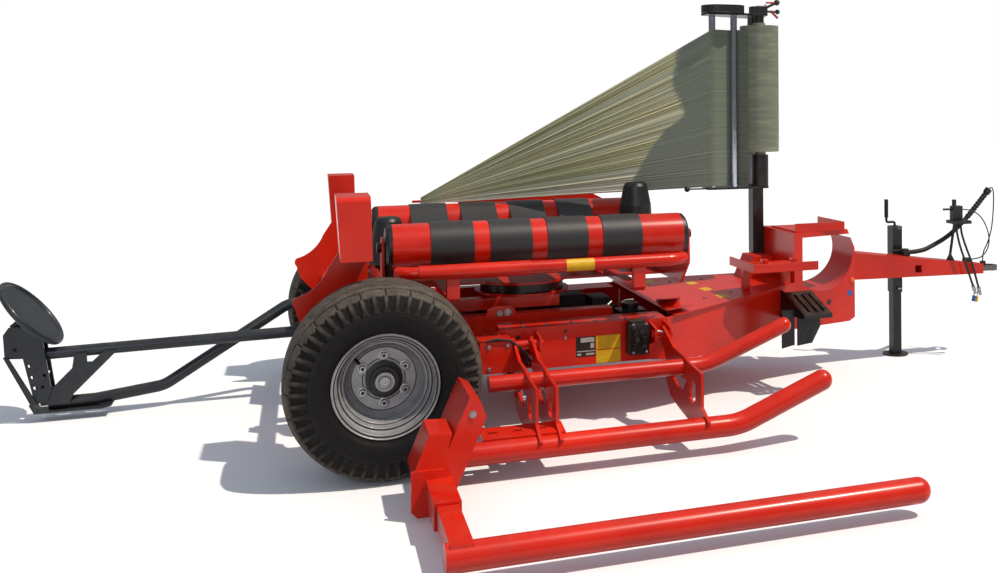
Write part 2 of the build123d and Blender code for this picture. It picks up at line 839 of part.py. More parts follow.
# Two guide cones that stand between the rollers, one at each end
with BuildPart() as cones:
    for x, top in zip(cone_x, cone_top):
        base = deck_z + deck_thick
        with BuildSketch(Plane.XZ):
            with BuildLine():
                Polyline(
                    (x, base), (x + 30, base), (x + 30, cone_base_z - 10),
                    (x + cone_base_radius, cone_base_z - 10), (x + cone_base_radius, cone_base_z),
                    (x + (cone_base_radius + cone_mid_radius) / 2 - 4, cone_base_z + 40),
                    (x + cone_mid_radius, top - 130), (x + cone_top_radius + 4, top - 22),
                    (x + cone_top_radius - 6, top - 6), (x + cone_top_radius - 18, top),
                    (x, top), close=True,
                )
            make_face()
        revolve(axis=Axis((x, 0, 0), (0, 0, 1)))
pieces["cones"] = cones

# Loader: two bent tubes joined by ribs, hung from pivots on the frame's right side
inner_path = tube_path(
    [
        (455, inner_tube_y, inner_tube_z), (1500, inner_tube_y, inner_tube_z),
        (1915, inner_tube_y, inner_tube_z + 160),
    ],
    320,
)
outer_path = tube_path(
    [
        (outer_tube_start_x, outer_tube_y, outer_tube_z), (1560, outer_tube_y, outer_tube_z),
        (1985, outer_tube_y, outer_tube_z + 165),
    ],
    320,
)
with BuildPart() as loader_tubes:
    for path, radius in ((inner_path, inner_tube_radius), (outer_path, outer_tube_radius)):
        with BuildSketch(section_at(path)):
            Circle(radius)
        sweep(path=path)
        with Locations(Location(path @ 1)):
            Sphere(radius)
pieces["loader_tubes"] = loader_tubes

# Ribs: open plates from the pivot under the inner tube down to the outer tube, with a slotted strip
rear_rib_x = (lift_x - clevis_half - rib_thick, lift_x + clevis_half)
front_rib_x = 1385.0
with BuildPart() as loader_ribs:
    for x in (*rear_rib_x, front_rib_x):
        with BuildSketch(Plane.YZ.offset(x)):
            with BuildLine():
                Polyline(
                    (lift_y - 6, lift_z + 38), (lift_y + 26, lift_z + 26), (lift_y + 36, lift_z),
                    (lift_y + 20, lift_z - 36), (-742, 330), (-731, 232), (-808, 155), (-938, 126),
                    (-1115, 99), (outer_tube_y, 99), (outer_tube_y - 60, 160), (-1248, 206),
                    (-1248, 362), (-1060, 378), (inner_tube_y, 392), (-860, 400), (-720, 462),
                    close=True,
                )
            make_face()
            with BuildLine():
                Polyline(
                    (-862, 290), (-842, 252), (-958, 211), (-995, 226), (-1050, 290), (-1000, 282),
                    (-930, 284), close=True,
                )
            make_face(mode=Mode.SUBTRACT)
            with BuildLine():
                Polyline(
                    (-1106, 300), (-1150, 306), (-1172, 290), (-1169, 222), (-1134, 196),
                    (-1090, 214), (-1092, 261), close=True,
                )
            make_face(mode=Mode.SUBTRACT)
            with Locations((lift_y, lift_z)):
                Circle(lift_pin_radius + running_gap, mode=Mode.SUBTRACT)
            with Locations((inner_tube_y, inner_tube_z)):
                Circle(inner_tube_radius + 0.2, mode=Mode.SUBTRACT)
            with Locations((outer_tube_y, outer_tube_z)):
                Circle(outer_tube_radius + 0.2, mode=Mode.SUBTRACT)
        extrude(amount=rib_thick)
    # lobes of the rear pair round the lift cylinder's pin
    for x, way in ((rear_rib_x[0] + rib_thick, -1), (rear_rib_x[1], 1)):
        with BuildSketch(Plane.YZ.offset(x)):
            with Locations((lift_eye_y, lift_eye_z)):
                Circle(eye_radius_out)
        extrude(amount=way * rib_thick)
        with BuildSketch(Plane.YZ.offset(x)):
            with Locations((lift_eye_y, lift_eye_z)):
                Circle(pin_radius)
        extrude(amount=way * (rib_thick + 12))
    # slotted strip that leans on the outer tube behind the ribs
    with BuildSketch(Plane.YZ.offset(strip_x[0])):
        with BuildLine():
            Polyline(
                (outer_tube_y - 2, outer_tube_z + outer_tube_radius + seat_gap), (-1180, 190.3),
                (-1180, 198.3), (outer_tube_y - 4, outer_tube_z + outer_tube_radius + 8.3), close=True,
            )
        make_face()
    extrude(amount=strip_x[1] - strip_x[0])
    for x in (strip_x[0] + 50, strip_x[0] + 158, strip_x[0] + 266):
        with Locations((x, -1228, 184)):
            Box(40, 16, 60, mode=Mode.SUBTRACT)
pieces["loader_ribs"] = loader_ribs

# Pivots on the frame: bracket plates with a pin through each pair of ribs
pivot_pairs = ((560.0, 750.0), (1340.0, 1418.0))
with BuildPart() as loader_pivots:
    for rear_x, front_x in pivot_pairs:
        for x in (rear_x, front_x):
            with BuildSketch(Plane.YZ.offset(x)):
                with BuildLine():
                    Polyline(
                        (-pan_half, lift_z + 50), (-pan_half, lift_z - 70),
                        (lift_y - 34, lift_z - 34), (lift_y - 34, lift_z + 34), close=True,
                    )
                make_face()
            extrude(amount=12)
        with BuildSketch(Plane.YZ.offset(rear_x - 10)):
            with Locations((lift_y, lift_z)):
                Circle(lift_pin_radius)
        extrude(amount=front_x - rear_x + 32)
pieces["loader_pivots"] = loader_pivots

# Swing channel at the loader's rear end: a tall box that leans forward, a low box behind it, the joint
# to the outer tube, the pivot plate and the square sleeve outboard of them
with BuildPart() as swing_channel:
    with BuildSketch(Plane.XZ.offset(-channel_inner_y)):
        with BuildLine():
            Polyline((134, 113), (224, 87), (349, 371), (328, 432), (284, 455), close=True)
        make_face()
    extrude(amount=channel_inner_y - channel_outer_y)
    with BuildSketch(Plane.XZ.offset(1400)):
        with BuildLine():
            Polyline((64, 170), (110, 90), (160, 130), (216, 321), (128, 326), close=True)
        make_face()
    extrude(amount=-channel_outer_y - 1400)
    with Locations(((channel_joint_x + outer_tube_start_x) / 2, outer_tube_y - 30, outer_tube_z)):
        Box(outer_tube_start_x - channel_joint_x, 2 * outer_tube_radius + 60, 2 * outer_tube_radius)
    with BuildSketch(Plane.XZ.offset(-channel_outer_y)):
        with BuildLine():
            Polyline(
                (57, 40), (80, 15), (159, 15), (224, 40), (224, 90), (180, 193), (57, 193), close=True,
            )
        make_face()
    extrude(amount=rib_thick)
    with BuildSketch(Plane.XZ.offset(-channel_outer_y)):
        with Locations((slide_x, slide_z)):
            Rectangle(sleeve_side, sleeve_side)
    extrude(amount=sleeve_length)
    with BuildSketch(Plane.XZ.offset(rib_thick - channel_outer_y)):
        with Locations((slide_x, slide_z)):
            Rectangle(slide_side + 2 * slide_gap, slide_side + 2 * slide_gap)
    extrude(amount=sleeve_length, mode=Mode.SUBTRACT)
pieces["swing_channel"] = swing_channel

# Sliding outer arm: a square tube in the sleeve and the long straight tube
slide_start = rib_thick + 2 - channel_outer_y
with BuildPart() as slide_arm:
    with BuildSketch(Plane.XZ.offset(slide_start)):
        with Locations((slide_x, slide_z)):
            Rectangle(slide_side, slide_side)
    extrude(amount=-slide_tube_y + 30 - slide_start)
    with BuildSketch(Plane.YZ.offset(108)):
        with Locations((slide_tube_y, slide_tube_z)):
            Circle(slide_tube_radius)
    extrude(amount=1797)
    with Locations((1905, slide_tube_y, slide_tube_z)):
        Sphere(slide_tube_radius)
pieces["slide_arm"] = slide_arm


def cylinder_frame(start, end):
    """Plane at the start of a cylinder whose local z points to the far pin."""
    way = Vector(*end) - Vector(*start)
    return Plane(origin=start, x_dir=way.cross(Vector(0, 0, 1)), z_dir=way)


def cylinder_pair(start, end, barrel_length, barrel_radius, rod_radius):
    """Barrel with its base eye, and rod with its far boss, as two parts."""
    length = (Vector(*end) - Vector(*start)).length
    base = cylinder_frame(start, end)
    with BuildPart() as barrel:
        with BuildSketch(base.offset(eye_radius_out - 6)):
            Circle(barrel_radius)
        extrude(amount=barrel_length - eye_radius_out + 6)
        with BuildSketch(Plane(base.origin, x_dir=base.z_dir, z_dir=base.x_dir).offset(-eye_half)):
            Circle(eye_radius_out)
        extrude(amount=2 * eye_half)
        with BuildSketch(Plane(base.origin, x_dir=base.z_dir, z_dir=base.x_dir).offset(-eye_half)):
            Circle(pin_radius + running_gap)
        extrude(amount=2 * eye_half, mode=Mode.SUBTRACT)
        with BuildSketch(base.offset(eye_radius_out + 20)):
            Circle(rod_radius + running_gap)
        extrude(amount=barrel_length, mode=Mode.SUBTRACT)
    far = Plane(origin=end, x_dir=base.z_dir, z_dir=base.x_dir)
    with BuildPart() as rod:
        with BuildSketch(base.offset(eye_radius_out + 24)):
            Circle(rod_radius)
        extrude(amount=length - eye_radius_out - 24)
        with BuildSketch(far.offset(-eye_half)):
            Circle(eye_radius_out - 4)
        extrude(amount=2 * eye_half)
    return barrel, rod


tilt_barrel, tilt_rod = cylinder_pair(
    (tilt_base_x, 0, tilt_base_z), (tilt_eye_x, 0, tilt_eye_z),
    tilt_barrel_length, tilt_barrel_radius, tilt_rod_radius,
)
pieces["tilt_barrel"] = tilt_barrel
pieces["tilt_rod"] = tilt_rod
lift_barrel, lift_rod = cylinder_pair(
    (lift_x, lift_base_y, lift_base_z), (lift_x, lift_eye_y, lift_eye_z),
    lift_barrel_length, lift_barrel_radius, lift_rod_radius,
)
pieces["lift_barrel"] = lift_barrel
pieces["lift_rod"] = lift_rod

# Film mast: column behind the roll, bottom and top arms, on a pedestal that stands on the cover


def cover_top(x):
    """Height of the sloping deck cover's top face."""
    return cover_rear_z + cover_thick + slope * (x - cover_rear_x)


with BuildPart() as mast_pedestal:
    with BuildSketch(Plane.XZ.offset(-pedestal_y[0])):
        with BuildLine():
            Polyline(
                (pedestal_x[0], cover_top(pedestal_x[0])), (pedestal_x[1], cover_top(pedestal_x[1])),
                (pedestal_x[1], mast_base_top), (pedestal_x[0] + 60, mast_base_top), close=True,
            )
        make_face()
    extrude(amount=pedestal_y[0] - pedestal_y[1])
pieces["mast_pedestal"] = mast_pedestal

with BuildPart() as mast_frame:
    with Locations((column_x, column_y, (mast_base_top + mast_top) / 2)):
        Box(70, 70, mast_top - mast_base_top)
    for z in (stretch_bottom - 12, stretch_top):
        with BuildSketch(Plane.XY.offset(z)):
            with BuildLine():
                Polyline(
                    (mast_x - 210, mast_y - 100), (film_x + 40, mast_y - 100), (column_x + 35, column_y - 35),
                    (column_x + 35, column_y + 35), (column_x - 35, column_y + 35),
                    (mast_x - 210, mast_y + 10), close=True,
                )
            make_face()
        extrude(amount=12)
    # thin rod with a ball beside the bottom arm
    with BuildSketch(Plane.YZ.offset(mast_x - 210)):
        with Locations((mast_y - 60, stretch_bottom - 6)):
            Circle(5)
    extrude(amount=-115)
    with Locations((mast_x - 330, mast_y - 60, stretch_bottom - 6)):
        Sphere(17)
    # cup below and spindle above that hold the film roll by its core
    for low, high in ((stretch_bottom, film_bottom + 150), (film_top - 60, stretch_top)):
        with BuildSketch(Plane.XY.offset(low)):
            with Locations((film_x, film_y)):
                Circle(core_bore - running_gap)
        extrude(amount=high - low)
    with BuildSketch(Plane.XY.offset(stretch_bottom)):
        with Locations((film_x, film_y)):
            Circle(52)
    extrude(amount=film_bottom - core_stand - seat_gap - stretch_bottom)
pieces["mast_frame"] = mast_frame

with BuildPart() as top_housing:
    with BuildSketch(Plane.XY.offset(stretch_top + 12)):
        with Locations((mast_x - 99, mast_y - 60)):
            SlotOverall(262, 180)
    extrude(amount=44)
pieces["top_housing"] = top_housing

# Latch above the film roll: a block on the top arm, a lever with a ball and a short peg with a ball
latch_path = Polyline((film_x + 10, film_y, stretch_top + 34), (film_x + 118, film_y, stretch_top + latch_rise))
with BuildPart() as film_latch:
    with Locations((film_x - 4, film_y, stretch_top + 34)):
        Box(96, 60, 44)
    with BuildSketch(section_at(latch_path)):
        Circle(8)
    sweep(path=latch_path)
    with Locations(Location(latch_path @ 1)):
        Sphere(18)
    with BuildSketch(Plane.YZ.offset(film_x + 40)):
        with Locations((film_y, stretch_top + 28)):
            Circle(7)
    extrude(amount=76)
    with Locations((film_x + 122, film_y, stretch_top + 28)):
        Sphere(15)
pieces["film_latch"] = film_latch

stretch_places = ((mast_x - 30, mast_y - 60), (mast_x - 168, mast_y - 60))
with BuildPart() as stretch_rollers:
    with BuildSketch(Plane.XY.offset(stretch_bottom)):
        with Locations(*stretch_places):
            Circle(stretch_radius)
    extrude(amount=stretch_top - stretch_bottom)
pieces["stretch_rollers"] = stretch_rollers

with BuildPart() as film_roll:
    with BuildSketch(Plane.XY.offset(film_bottom)):
        with Locations((film_x, film_y)):
            Circle(film_radius)
    extrude(amount=film_width)
    with BuildSketch(Plane.XY.offset(film_bottom - core_stand)):
        with Locations((film_x, film_y)):
            Circle(core_bore + 8)
    extrude(amount=film_width + 2 * core_stand)
    with BuildSketch(Plane.XY.offset(film_bottom - core_stand)):
        with Locations((film_x, film_y)):
            Circle(core_bore)
    extrude(amount=film_width + 2 * core_stand, mode=Mode.SUBTRACT)
pieces["film_roll"] = film_roll

# Film web: a thin sheet from the stretch rollers to the far rear corner of the table
web_roller = Vector(mast_x - 168, mast_y - 60, (stretch_top + stretch_bottom) / 2 - 40)
web_turn = atan2(web_end.Y - web_roller.Y, web_end.X - web_roller.X)
web_way = Vector(cos(web_turn), sin(web_turn), 0)
web_side = Vector(-sin(web_turn), cos(web_turn), 0)
web_start = web_roller + web_side * (stretch_radius + seat_gap + web_thick / 2)
with BuildPart() as film_web:
    with BuildSketch(Plane(origin=web_start, x_dir=(0, 0, 1), z_dir=web_way)):
        Rectangle(930, web_thick)
    with BuildSketch(Plane(origin=web_end, x_dir=(0, 0, 1), z_dir=web_way)):
        Rectangle(40, 20)
    loft()
pieces["film_web"] = film_web

# Tail: two grey tubes, gusset, end plates, skid and the disc with a thick rim
straight_tail = tube_path(
    [(tail_plate_x, tail_y, 361), (-400, tail_y, 361), (-1590, tail_y, 338), (-1690, tail_y, 372)], 120
)
bent_tail = tube_path(
    [
        (tail_plate_x, tail_y + 110, 500), (-405, tail_y + 110, 500), (-1030, tail_y + 50, 116),
        (-1350, tail_y + 10, tail_low_z), (-1560, tail_y, tail_low_z),
    ],
    150,
)
with BuildPart() as tail_tubes:
    for path in (straight_tail, bent_tail):
        with BuildSketch(section_at(path)):
            Circle(tail_tube_radius)
        sweep(path=path)
pieces["tail_tubes"] = tail_tubes

with BuildPart() as tail_plate:
    with Locations((tail_plate_x + tail_plate_thick / 2, tail_y - 40, 455)):
        Box(tail_plate_thick, 420, 170)
pieces["tail_plate"] = tail_plate

with BuildPart() as tail_gusset:
    with BuildSketch(Plane.XZ.offset(-tail_y + tail_tube_radius)):
        with BuildLine():
            Polyline(
                (-1439, 333), (-1382, 338), (-1380, 289), (-1357, 288), (-1302, 341), (-1247, 337),
                (-1247, 330), (-1443, 128), (-1461, 81), (-1590, 81), (-1595, 110), (-1448, 263),
                close=True,
            )
        make_face()
    extrude(amount=tail_end_gap)
pieces["tail_gusset"] = tail_gusset

with BuildPart() as tail_ends:
    for y in (tail_y - tail_tube_radius - 2 * tail_end_gap, tail_y + tail_tube_radius):
        with BuildSketch(Plane.XZ.offset(-y)):
            with BuildLine():
                Polyline(
                    (-1752, 455), (-1728, 492), (-1680, 492), (-1590, 470), (-1572, 383), (-1539, 161),
                    (-1556, 108), (-1612, 92), (-1650, 260), (-1665, 330), (-1745, 335), close=True,
                )
            make_face()
            with Locations((-1700, 380), (-1636, 290), (-1624, 232), (-1571, 238), (-1613, 177), (-1579, 180)):
                Circle(9, mode=Mode.SUBTRACT)
        extrude(amount=-tail_end_gap)
    # flat stay outside the near plate
    with BuildSketch(Plane.XZ.offset(-tail_y + tail_tube_radius + 2 * tail_end_gap)):
        with BuildLine():
            Polyline((-1750, 345), (-1726, 338), (-1602, 100), (-1616, 94), (-1632, 98), close=True)
        make_face()
    extrude(amount=tail_end_gap)
pieces["tail_ends"] = tail_ends

with BuildPart() as tail_skid:
    skid_top = tail_low_z - tail_tube_radius
    with BuildSketch(Plane.XZ.offset(-tail_y + 60)):
        with BuildLine():
            Polyline(
                (-1640, 92), (-1616, skid_top - 8), (-1310, skid_top - 8), (-1268, skid_top),
                (-1272, skid_top + 6), (-1312, skid_top), (-1610, skid_top), (-1632, 96), close=True,
            )
        make_face()
    extrude(amount=-120)
pieces["tail_skid"] = tail_skid

disc_plane = Plane(origin=(disc_x, tail_y, disc_z), z_dir=(0.766, -0.04, 0.641))
with BuildPart() as tail_disc:
    with BuildSketch(disc_plane.offset(-6)):
        Circle(disc_radius)
    extrude(amount=12)
    with Locations(disc_plane):
        Torus(disc_radius, disc_edge)
    with BuildSketch(disc_plane):
        Circle(18)
    extrude(amount=-110)
    with BuildSketch(Plane.XZ.offset(-tail_y - tail_tube_radius)):
        with Locations(disc_socket):
            Circle(24)
    extrude(amount=2 * tail_tube_radius + tail_end_gap)
pieces["tail_disc"] = tail_disc

# Valve block on the right side plate, and the motor with its manifold in the tray
with BuildPart() as valve_block:
    with Locations(((valve_x[0] + valve_x[1]) / 2, -pan_half - 36, 412)):
        Box(valve_x[1] - valve_x[0], 72, 150)
    with Locations(((valve_x[0] + valve_x[1]) / 2 - 8, -pan_half - 40, 494)):
        Box(70, 50, 24)
    with BuildSketch(Plane.XZ.offset(pan_half + 72)):
        with Locations((valve_x[0] + 30, 380), (valve_x[0] + 30, 440), (valve_x[0] + 78, 410)):
            Circle(16)
    extrude(amount=18)
pieces["valve_block"] = valve_block

with BuildPart() as drive_motor:
    with Locations((motor_x, motor_y, pan_bottom + plate + 100)):
        Box(150, 110, 200)
    with BuildSketch(Plane.XY.offset(pan_bottom + plate + 200)):
        with Locations((motor_x, motor_y)):
            Circle(44)
    extrude(amount=34)
    with BuildSketch(Plane.YZ.offset(motor_x + 75)):
        with Locations((motor_y, pan_bottom + plate + 130)):
            Circle(40)
    extrude(amount=120)
pieces["drive_motor"] = drive_motor

# Step beside the headstock: a sloping slotted tread on a side plate, and two rubber flaps under it
with BuildPart() as step_bracket:
    with BuildSketch(Plane.YZ.offset(step_x[0])):
        with BuildLine():
            Polyline((-330, 535), (-590, 450), (-590, 428), (-330, 510), close=True)
        make_face()
    extrude(amount=step_x[1] - step_x[0])
    for x in (step_x[0] + 45, step_x[0] + 90, step_x[0] + 135):
        with Locations((x, -460, 480)):
            Box(16, 200, 160, mode=Mode.SUBTRACT)
    with BuildSketch(Plane.YZ.offset(step_x[0])):
        with BuildLine():
            Polyline((-250, 540), (-330, 535), (-590, 450), (-590, 428), (-470, 420), (-250, 380), close=True)
        make_face()
    extrude(amount=plate)
    with Locations(((step_flap_x[0] + step_flap_x[1]) / 2, step_flap_y + 11, 451)):
        Box(step_flap_x[1] - step_flap_x[0], 22, 22)
    with BuildSketch(Plane.XY.offset(pan_bottom)):
        with BuildLine():
            Polyline(*tray_outline, close=True)
        make_face()
    extrude(amount=400, mode=Mode.SUBTRACT)
pieces["step_bracket"] = step_bracket

with BuildPart() as step_flaps:
    with BuildSketch(Plane.XZ.offset(-step_flap_y)):
        with BuildLine():
            Polyline(
                (step_flap_x[0], 252), (step_flap_x[0] + 76, 266), (step_flap_x[0] + 76, 462),
                (step_flap_x[0], 462), close=True,
            )
        make_face()
        with BuildLine():
            Polyline(
                (step_flap_x[0] + 94, 260), (step_flap_x[1] - 51, 270), (step_flap_x[1], 361),
                (step_flap_x[1], 462), (step_flap_x[0] + 94, 462), close=True,
            )
        make_face()
    extrude(amount=8)
pieces["step_flaps"] = step_flaps

# Bare trays for spare film: one beside the mast on two posts, one on the headstock
with BuildPart() as film_trays:
    with Locations((2143, -375, tray_z + 4)):
        Box(386, 350, 8)
    with Locations((2143, -546, tray_z + 24)):
        Box(386, 8, 48)
    with Locations((1954, -375, tray_z + 24)):
        Box(8, 350, 48)
    for x in (2020, 2270):
        with BuildSketch(Plane.XZ.offset(205)):
            with BuildLine():
                Polyline(
                    (x, cover_top(x)), (x + 40, cover_top(x + 40)), (x + 40, tray_z), (x, tray_z), close=True,
                )
            make_face()
        extrude(amount=36)
    with Locations((2530, -20, head_top + 4)):
        Box(320, 340, 8)
    with Locations((2530, -186, head_top + 26)):
        Box(320, 8, 52)
    with Locations((2686, -20, head_top + 26)):
        Box(8, 340, 52)
pieces["film_trays"] = film_trays

# Hoses. A holder on the drawbar's top carries the bundle, the plug and the free hoses.
with BuildPart() as hose_stay:
    with BuildSketch(Plane.XZ.offset(-stay_y - 4)):
        with BuildLine():
            Polyline(
                (stay_x - 30, drawbar_top(stay_x - 30)), (stay_x + 30, drawbar_top(stay_x + 30)),
                (stay_x + 6, drawbar_top(stay_x) + stay_knee), (stay_x + 40, holder_z),
                (stay_x + 24, holder_z), (stay_x - 10, drawbar_top(stay_x) + stay_knee), close=True,
            )
        make_face()
    extrude(amount=8)
    with Locations((stay_x + 32, stay_y - 48, holder_z + 10)):
        Box(120, 104, 20)
pieces["hose_stay"] = hose_stay

with BuildPart() as plug_holder:
    with Locations((stay_x + 25, stay_y - 30, holder_z + 65)):
        Box(70, 40, 90)
    with BuildSketch(Plane.XY.offset(holder_z + 110)):
        with Locations((stay_x + 10, stay_y - 30)):
            Circle(14)
    extrude(amount=40)
    with BuildSketch(Plane.YZ.offset(stay_x - 10)):
        with Locations((stay_y - 30, holder_z + 90)):
            Circle(7)
    extrude(amount=-60)
pieces["plug_holder"] = plug_holder

# Clips on the drawbar and the eye's shank, and the collar at the bundle's top end
bundle_route = [
    (3250, 30, bundle_low_z), (3350, 30, bundle_low_z), (3440, 30, 700), (3530, 28, 742), (3608, 24, 798),
    (3682, 18, 866), (3748, 8, 942), (3816, 0, 1022),
]
bundle_path = hose_path(bundle_route)
with BuildPart() as hose_clip:
    for low_x, high_x, clip_y, clip_top in ((3214, 3250, 30, bundle_low_z + 24), (3642, 3682, 0, 612)):
        with BuildSketch(Plane.XZ.offset(15 - clip_y)):
            with BuildLine():
                Polyline(
                    (low_x, drawbar_top(low_x)), (high_x, drawbar_top(high_x)), (high_x, clip_top),
                    (low_x, clip_top), close=True,
                )
            make_face()
        extrude(amount=-30)
    with Locations((3787, 0, 571.5)):
        Box(30, 24, 27)
    with BuildSketch(Plane(origin=bundle_path @ 1, z_dir=bundle_path % 1)):
        Circle(bundle_radius + 4)
    extrude(amount=30)
pieces["hose_clip"] = hose_clip

with BuildPart() as hose_bundle:
    with BuildSketch(section_at(bundle_path)):
        Circle(bundle_radius)
    sweep(path=bundle_path)
pieces["hose_bundle"] = hose_bundle

# Two free hoses with couplers at their low ends
hose_routes = (
    [
        (3535, -84, holder_z), (3535, -84, 798), (3560, -84, 700), (3600, -84, 600), (3630, -84, 510),
        (3655, -84, 445),
    ],
    [
        (3583, -60, holder_z), (3583, -60, 792), (3616, -60, 700), (3660, -60, 600), (3690, -60, 505),
        (3712, -60, 430),
    ],
)
hose_paths = [hose_path(route) for route in hose_routes]
with BuildPart() as hydraulic_hoses:
    for path in hose_paths:
        with BuildSketch(section_at(path)):
            Circle(hose_radius)
        sweep(path=path)
pieces["hydraulic_hoses"] = hydraulic_hoses

with BuildPart() as hose_couplers:
    for path in hose_paths:
        low_end = Plane(origin=path @ 1, z_dir=path % 1)
        with BuildSketch(low_end):
            Circle(12)
        extrude(amount=34)
        with BuildSketch(low_end.offset(34)):
            Circle(9)
        extrude(amount=18)
pieces["hose_couplers"] = hose_couplers

# Two thin cables: plug to drawbar clip, and the bundle's collar to the clip on the eye's shank
collar_end = bundle_path @ 1 + (bundle_path % 1) * 30
collar_out = collar_end + (bundle_path % 1) * 22
cable_routes = (
    [
        (stay_x + 60, -30, 925), (3680, -30, 925), (3770, -22, 868), (3826, -12, 770), (3836, -4, 680),
        (3790, 0, 612), (3722, 0, 600), (3682, 0, 600),
    ],
    [
        (collar_end.X, collar_end.Y, collar_end.Z), (collar_out.X, collar_out.Y, collar_out.Z),
        (3874, 0, 1040), (3872, 0, 920), (3858, 0, 790), (3822, 0, 690), (3787, 0, 640), (3787, 0, 585),
    ],
)
cable_paths = [hose_path(route) for route in cable_routes]
with BuildPart() as cable_loops:
    for path in cable_paths:
        with BuildSketch(section_at(path)):
            Circle(cable_radius)
        sweep(path=path)
pieces["cable_loops"] = cable_loops

# Move the origin under the middle of the finished machine and write every piece.
boxes = [piece.part.bounding_box() for piece in pieces.values()]
middle_x = (min(box.min.X for box in boxes) + max(box.max.X for box in boxes)) / 2
middle_y = (min(box.min.Y for box in boxes) + max(box.max.Y for box in boxes)) / 2
to_origin = Location((-middle_x, -middle_y, 0))
for name, piece in pieces.items():
    finished = piece.part.moved(to_origin)
    finished.label = name
    export_step(finished, "parts/" + name + ".step")
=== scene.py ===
"""Looks of a trailed turntable wrapper for round bales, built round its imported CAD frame."""

import json
import math
import random

import bmesh
import bpy
from mathutils import Matrix, Vector

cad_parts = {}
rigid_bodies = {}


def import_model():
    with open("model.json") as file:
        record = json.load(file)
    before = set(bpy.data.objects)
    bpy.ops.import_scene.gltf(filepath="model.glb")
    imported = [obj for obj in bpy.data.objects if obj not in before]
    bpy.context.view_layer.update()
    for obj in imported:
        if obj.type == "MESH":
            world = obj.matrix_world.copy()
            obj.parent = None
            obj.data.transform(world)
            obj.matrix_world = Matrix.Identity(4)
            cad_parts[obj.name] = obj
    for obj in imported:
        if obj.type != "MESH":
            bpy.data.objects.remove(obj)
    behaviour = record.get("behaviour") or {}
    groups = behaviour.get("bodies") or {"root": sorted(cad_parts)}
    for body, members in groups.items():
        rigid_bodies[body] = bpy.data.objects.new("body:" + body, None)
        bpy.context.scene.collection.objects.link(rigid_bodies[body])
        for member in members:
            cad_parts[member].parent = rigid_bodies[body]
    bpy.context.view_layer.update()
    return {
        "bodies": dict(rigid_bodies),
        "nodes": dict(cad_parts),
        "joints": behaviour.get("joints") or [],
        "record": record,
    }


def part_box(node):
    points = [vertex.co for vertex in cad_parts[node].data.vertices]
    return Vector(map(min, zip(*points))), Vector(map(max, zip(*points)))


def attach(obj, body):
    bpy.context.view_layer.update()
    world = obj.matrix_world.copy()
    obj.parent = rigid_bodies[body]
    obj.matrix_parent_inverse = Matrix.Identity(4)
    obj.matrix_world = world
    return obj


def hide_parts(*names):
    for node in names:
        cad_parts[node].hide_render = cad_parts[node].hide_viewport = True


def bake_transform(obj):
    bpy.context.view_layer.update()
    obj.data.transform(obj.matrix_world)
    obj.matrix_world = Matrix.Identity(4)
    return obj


bl_info = {
    "name": "Bale wrapper looks",
    "version": (1, 0, 0),
    "blender": (4, 5, 0),
    "location": "View3D > Sidebar > Wrapper",
    "description": "Materials and fine shapes for a trailed bale wrapper",
    "category": "Object",
}

SIDES = ((1, "left"), (-1, "right"))
RIGHT, LEFT, UP, DOWN = (0, -1, 0), (0, 1, 0), (0, 0, 1), (0, 0, -1)

# Millimetres: the wheel's radius and half track, the tray's side, and the deck's slope from a point on it.
WHEEL, HALF_TRACK = 416, 980
TRAY_SIDE = -600
DECK_X, DECK_Z, DECK_SLOPE = 1863.7, 534.2, 0.0704

# What load() gives, and the place of the axle's centre on the ground in the row frame.
shop = {"frame": None, "axle": Vector((0, 0, 0))}


def at(x, y, z):
    """A point given in millimetres from the ground under the axle's centre, in the row frame."""
    return shop["axle"] + Vector((x, y, z)) / 1000


def in_scene(name, data):
    """A new object with that data, linked to the scene."""
    made = bpy.data.objects.new(name, data)
    bpy.context.scene.collection.objects.link(made)
    return made


def linear(colour):
    """A colour in the scene's linear values, from hex or from a colour property, which is linear already."""
    if not isinstance(colour, str):
        return (*colour, 1)
    parts = [int(colour[i : i + 2], 16) / 255 for i in (1, 3, 5)]
    return tuple(c / 12.92 if c <= 0.04045 else ((c + 0.055) / 1.055) ** 2.4 for c in parts) + (1,)


# Materials


def feed(tree, node, **inputs):
    """Links the inputs that are given a socket and sets the others. A key is a name, or i and a number."""
    for key, value in inputs.items():
        place = int(key[1:]) if key[0] == "i" and key[1:].isdigit() else key.replace("_", " ")
        if isinstance(value, bpy.types.NodeSocket):
            tree.links.new(value, node.inputs[place])
        else:
            node.inputs[place].default_value = value
    return node


def add(tree, kind, settings=None, **inputs):
    """Adds a node with its settings and inputs."""
    made = tree.nodes.new(kind)
    for key, value in (settings or {}).items():
        setattr(made, key, value)
    return feed(tree, made, **inputs)


def material(name, roughness=0.5, metallic=0.0, coat=0.0, coat_roughness=0.1, colour="#808080"):
    """A material with a principled shader. Returns it, its tree, its shader and the object coordinates."""
    made = bpy.data.materials.new(name)
    made.use_nodes = True
    tree = made.node_tree
    shader = feed(
        tree, tree.nodes["Principled BSDF"], Base_Color=linear(colour), Roughness=roughness,
        Metallic=metallic, Coat_Weight=coat, Coat_Roughness=coat_roughness,
    )
    made.diffuse_color = linear(colour)
    return made, tree, shader, add(tree, "ShaderNodeTexCoord").outputs["Object"]


def noise(tree, place, size_mm, detail=4.0, rough=0.55):
    """A noise whose largest blobs are about size_mm across."""
    return add(
        tree, "ShaderNodeTexNoise", Vector=place, Scale=1000.0 / size_mm, Detail=detail, Roughness=rough
    ).outputs["Fac"]


def ramp(tree, value, low, high, to_low=0.0, to_high=1.0):
    """Maps low..high of a value to another range, held at the ends."""
    made = add(tree, "ShaderNodeMapRange", Value=value, From_Min=low, From_Max=high)
    return feed(tree, made, To_Min=to_low, To_Max=to_high).outputs["Result"]


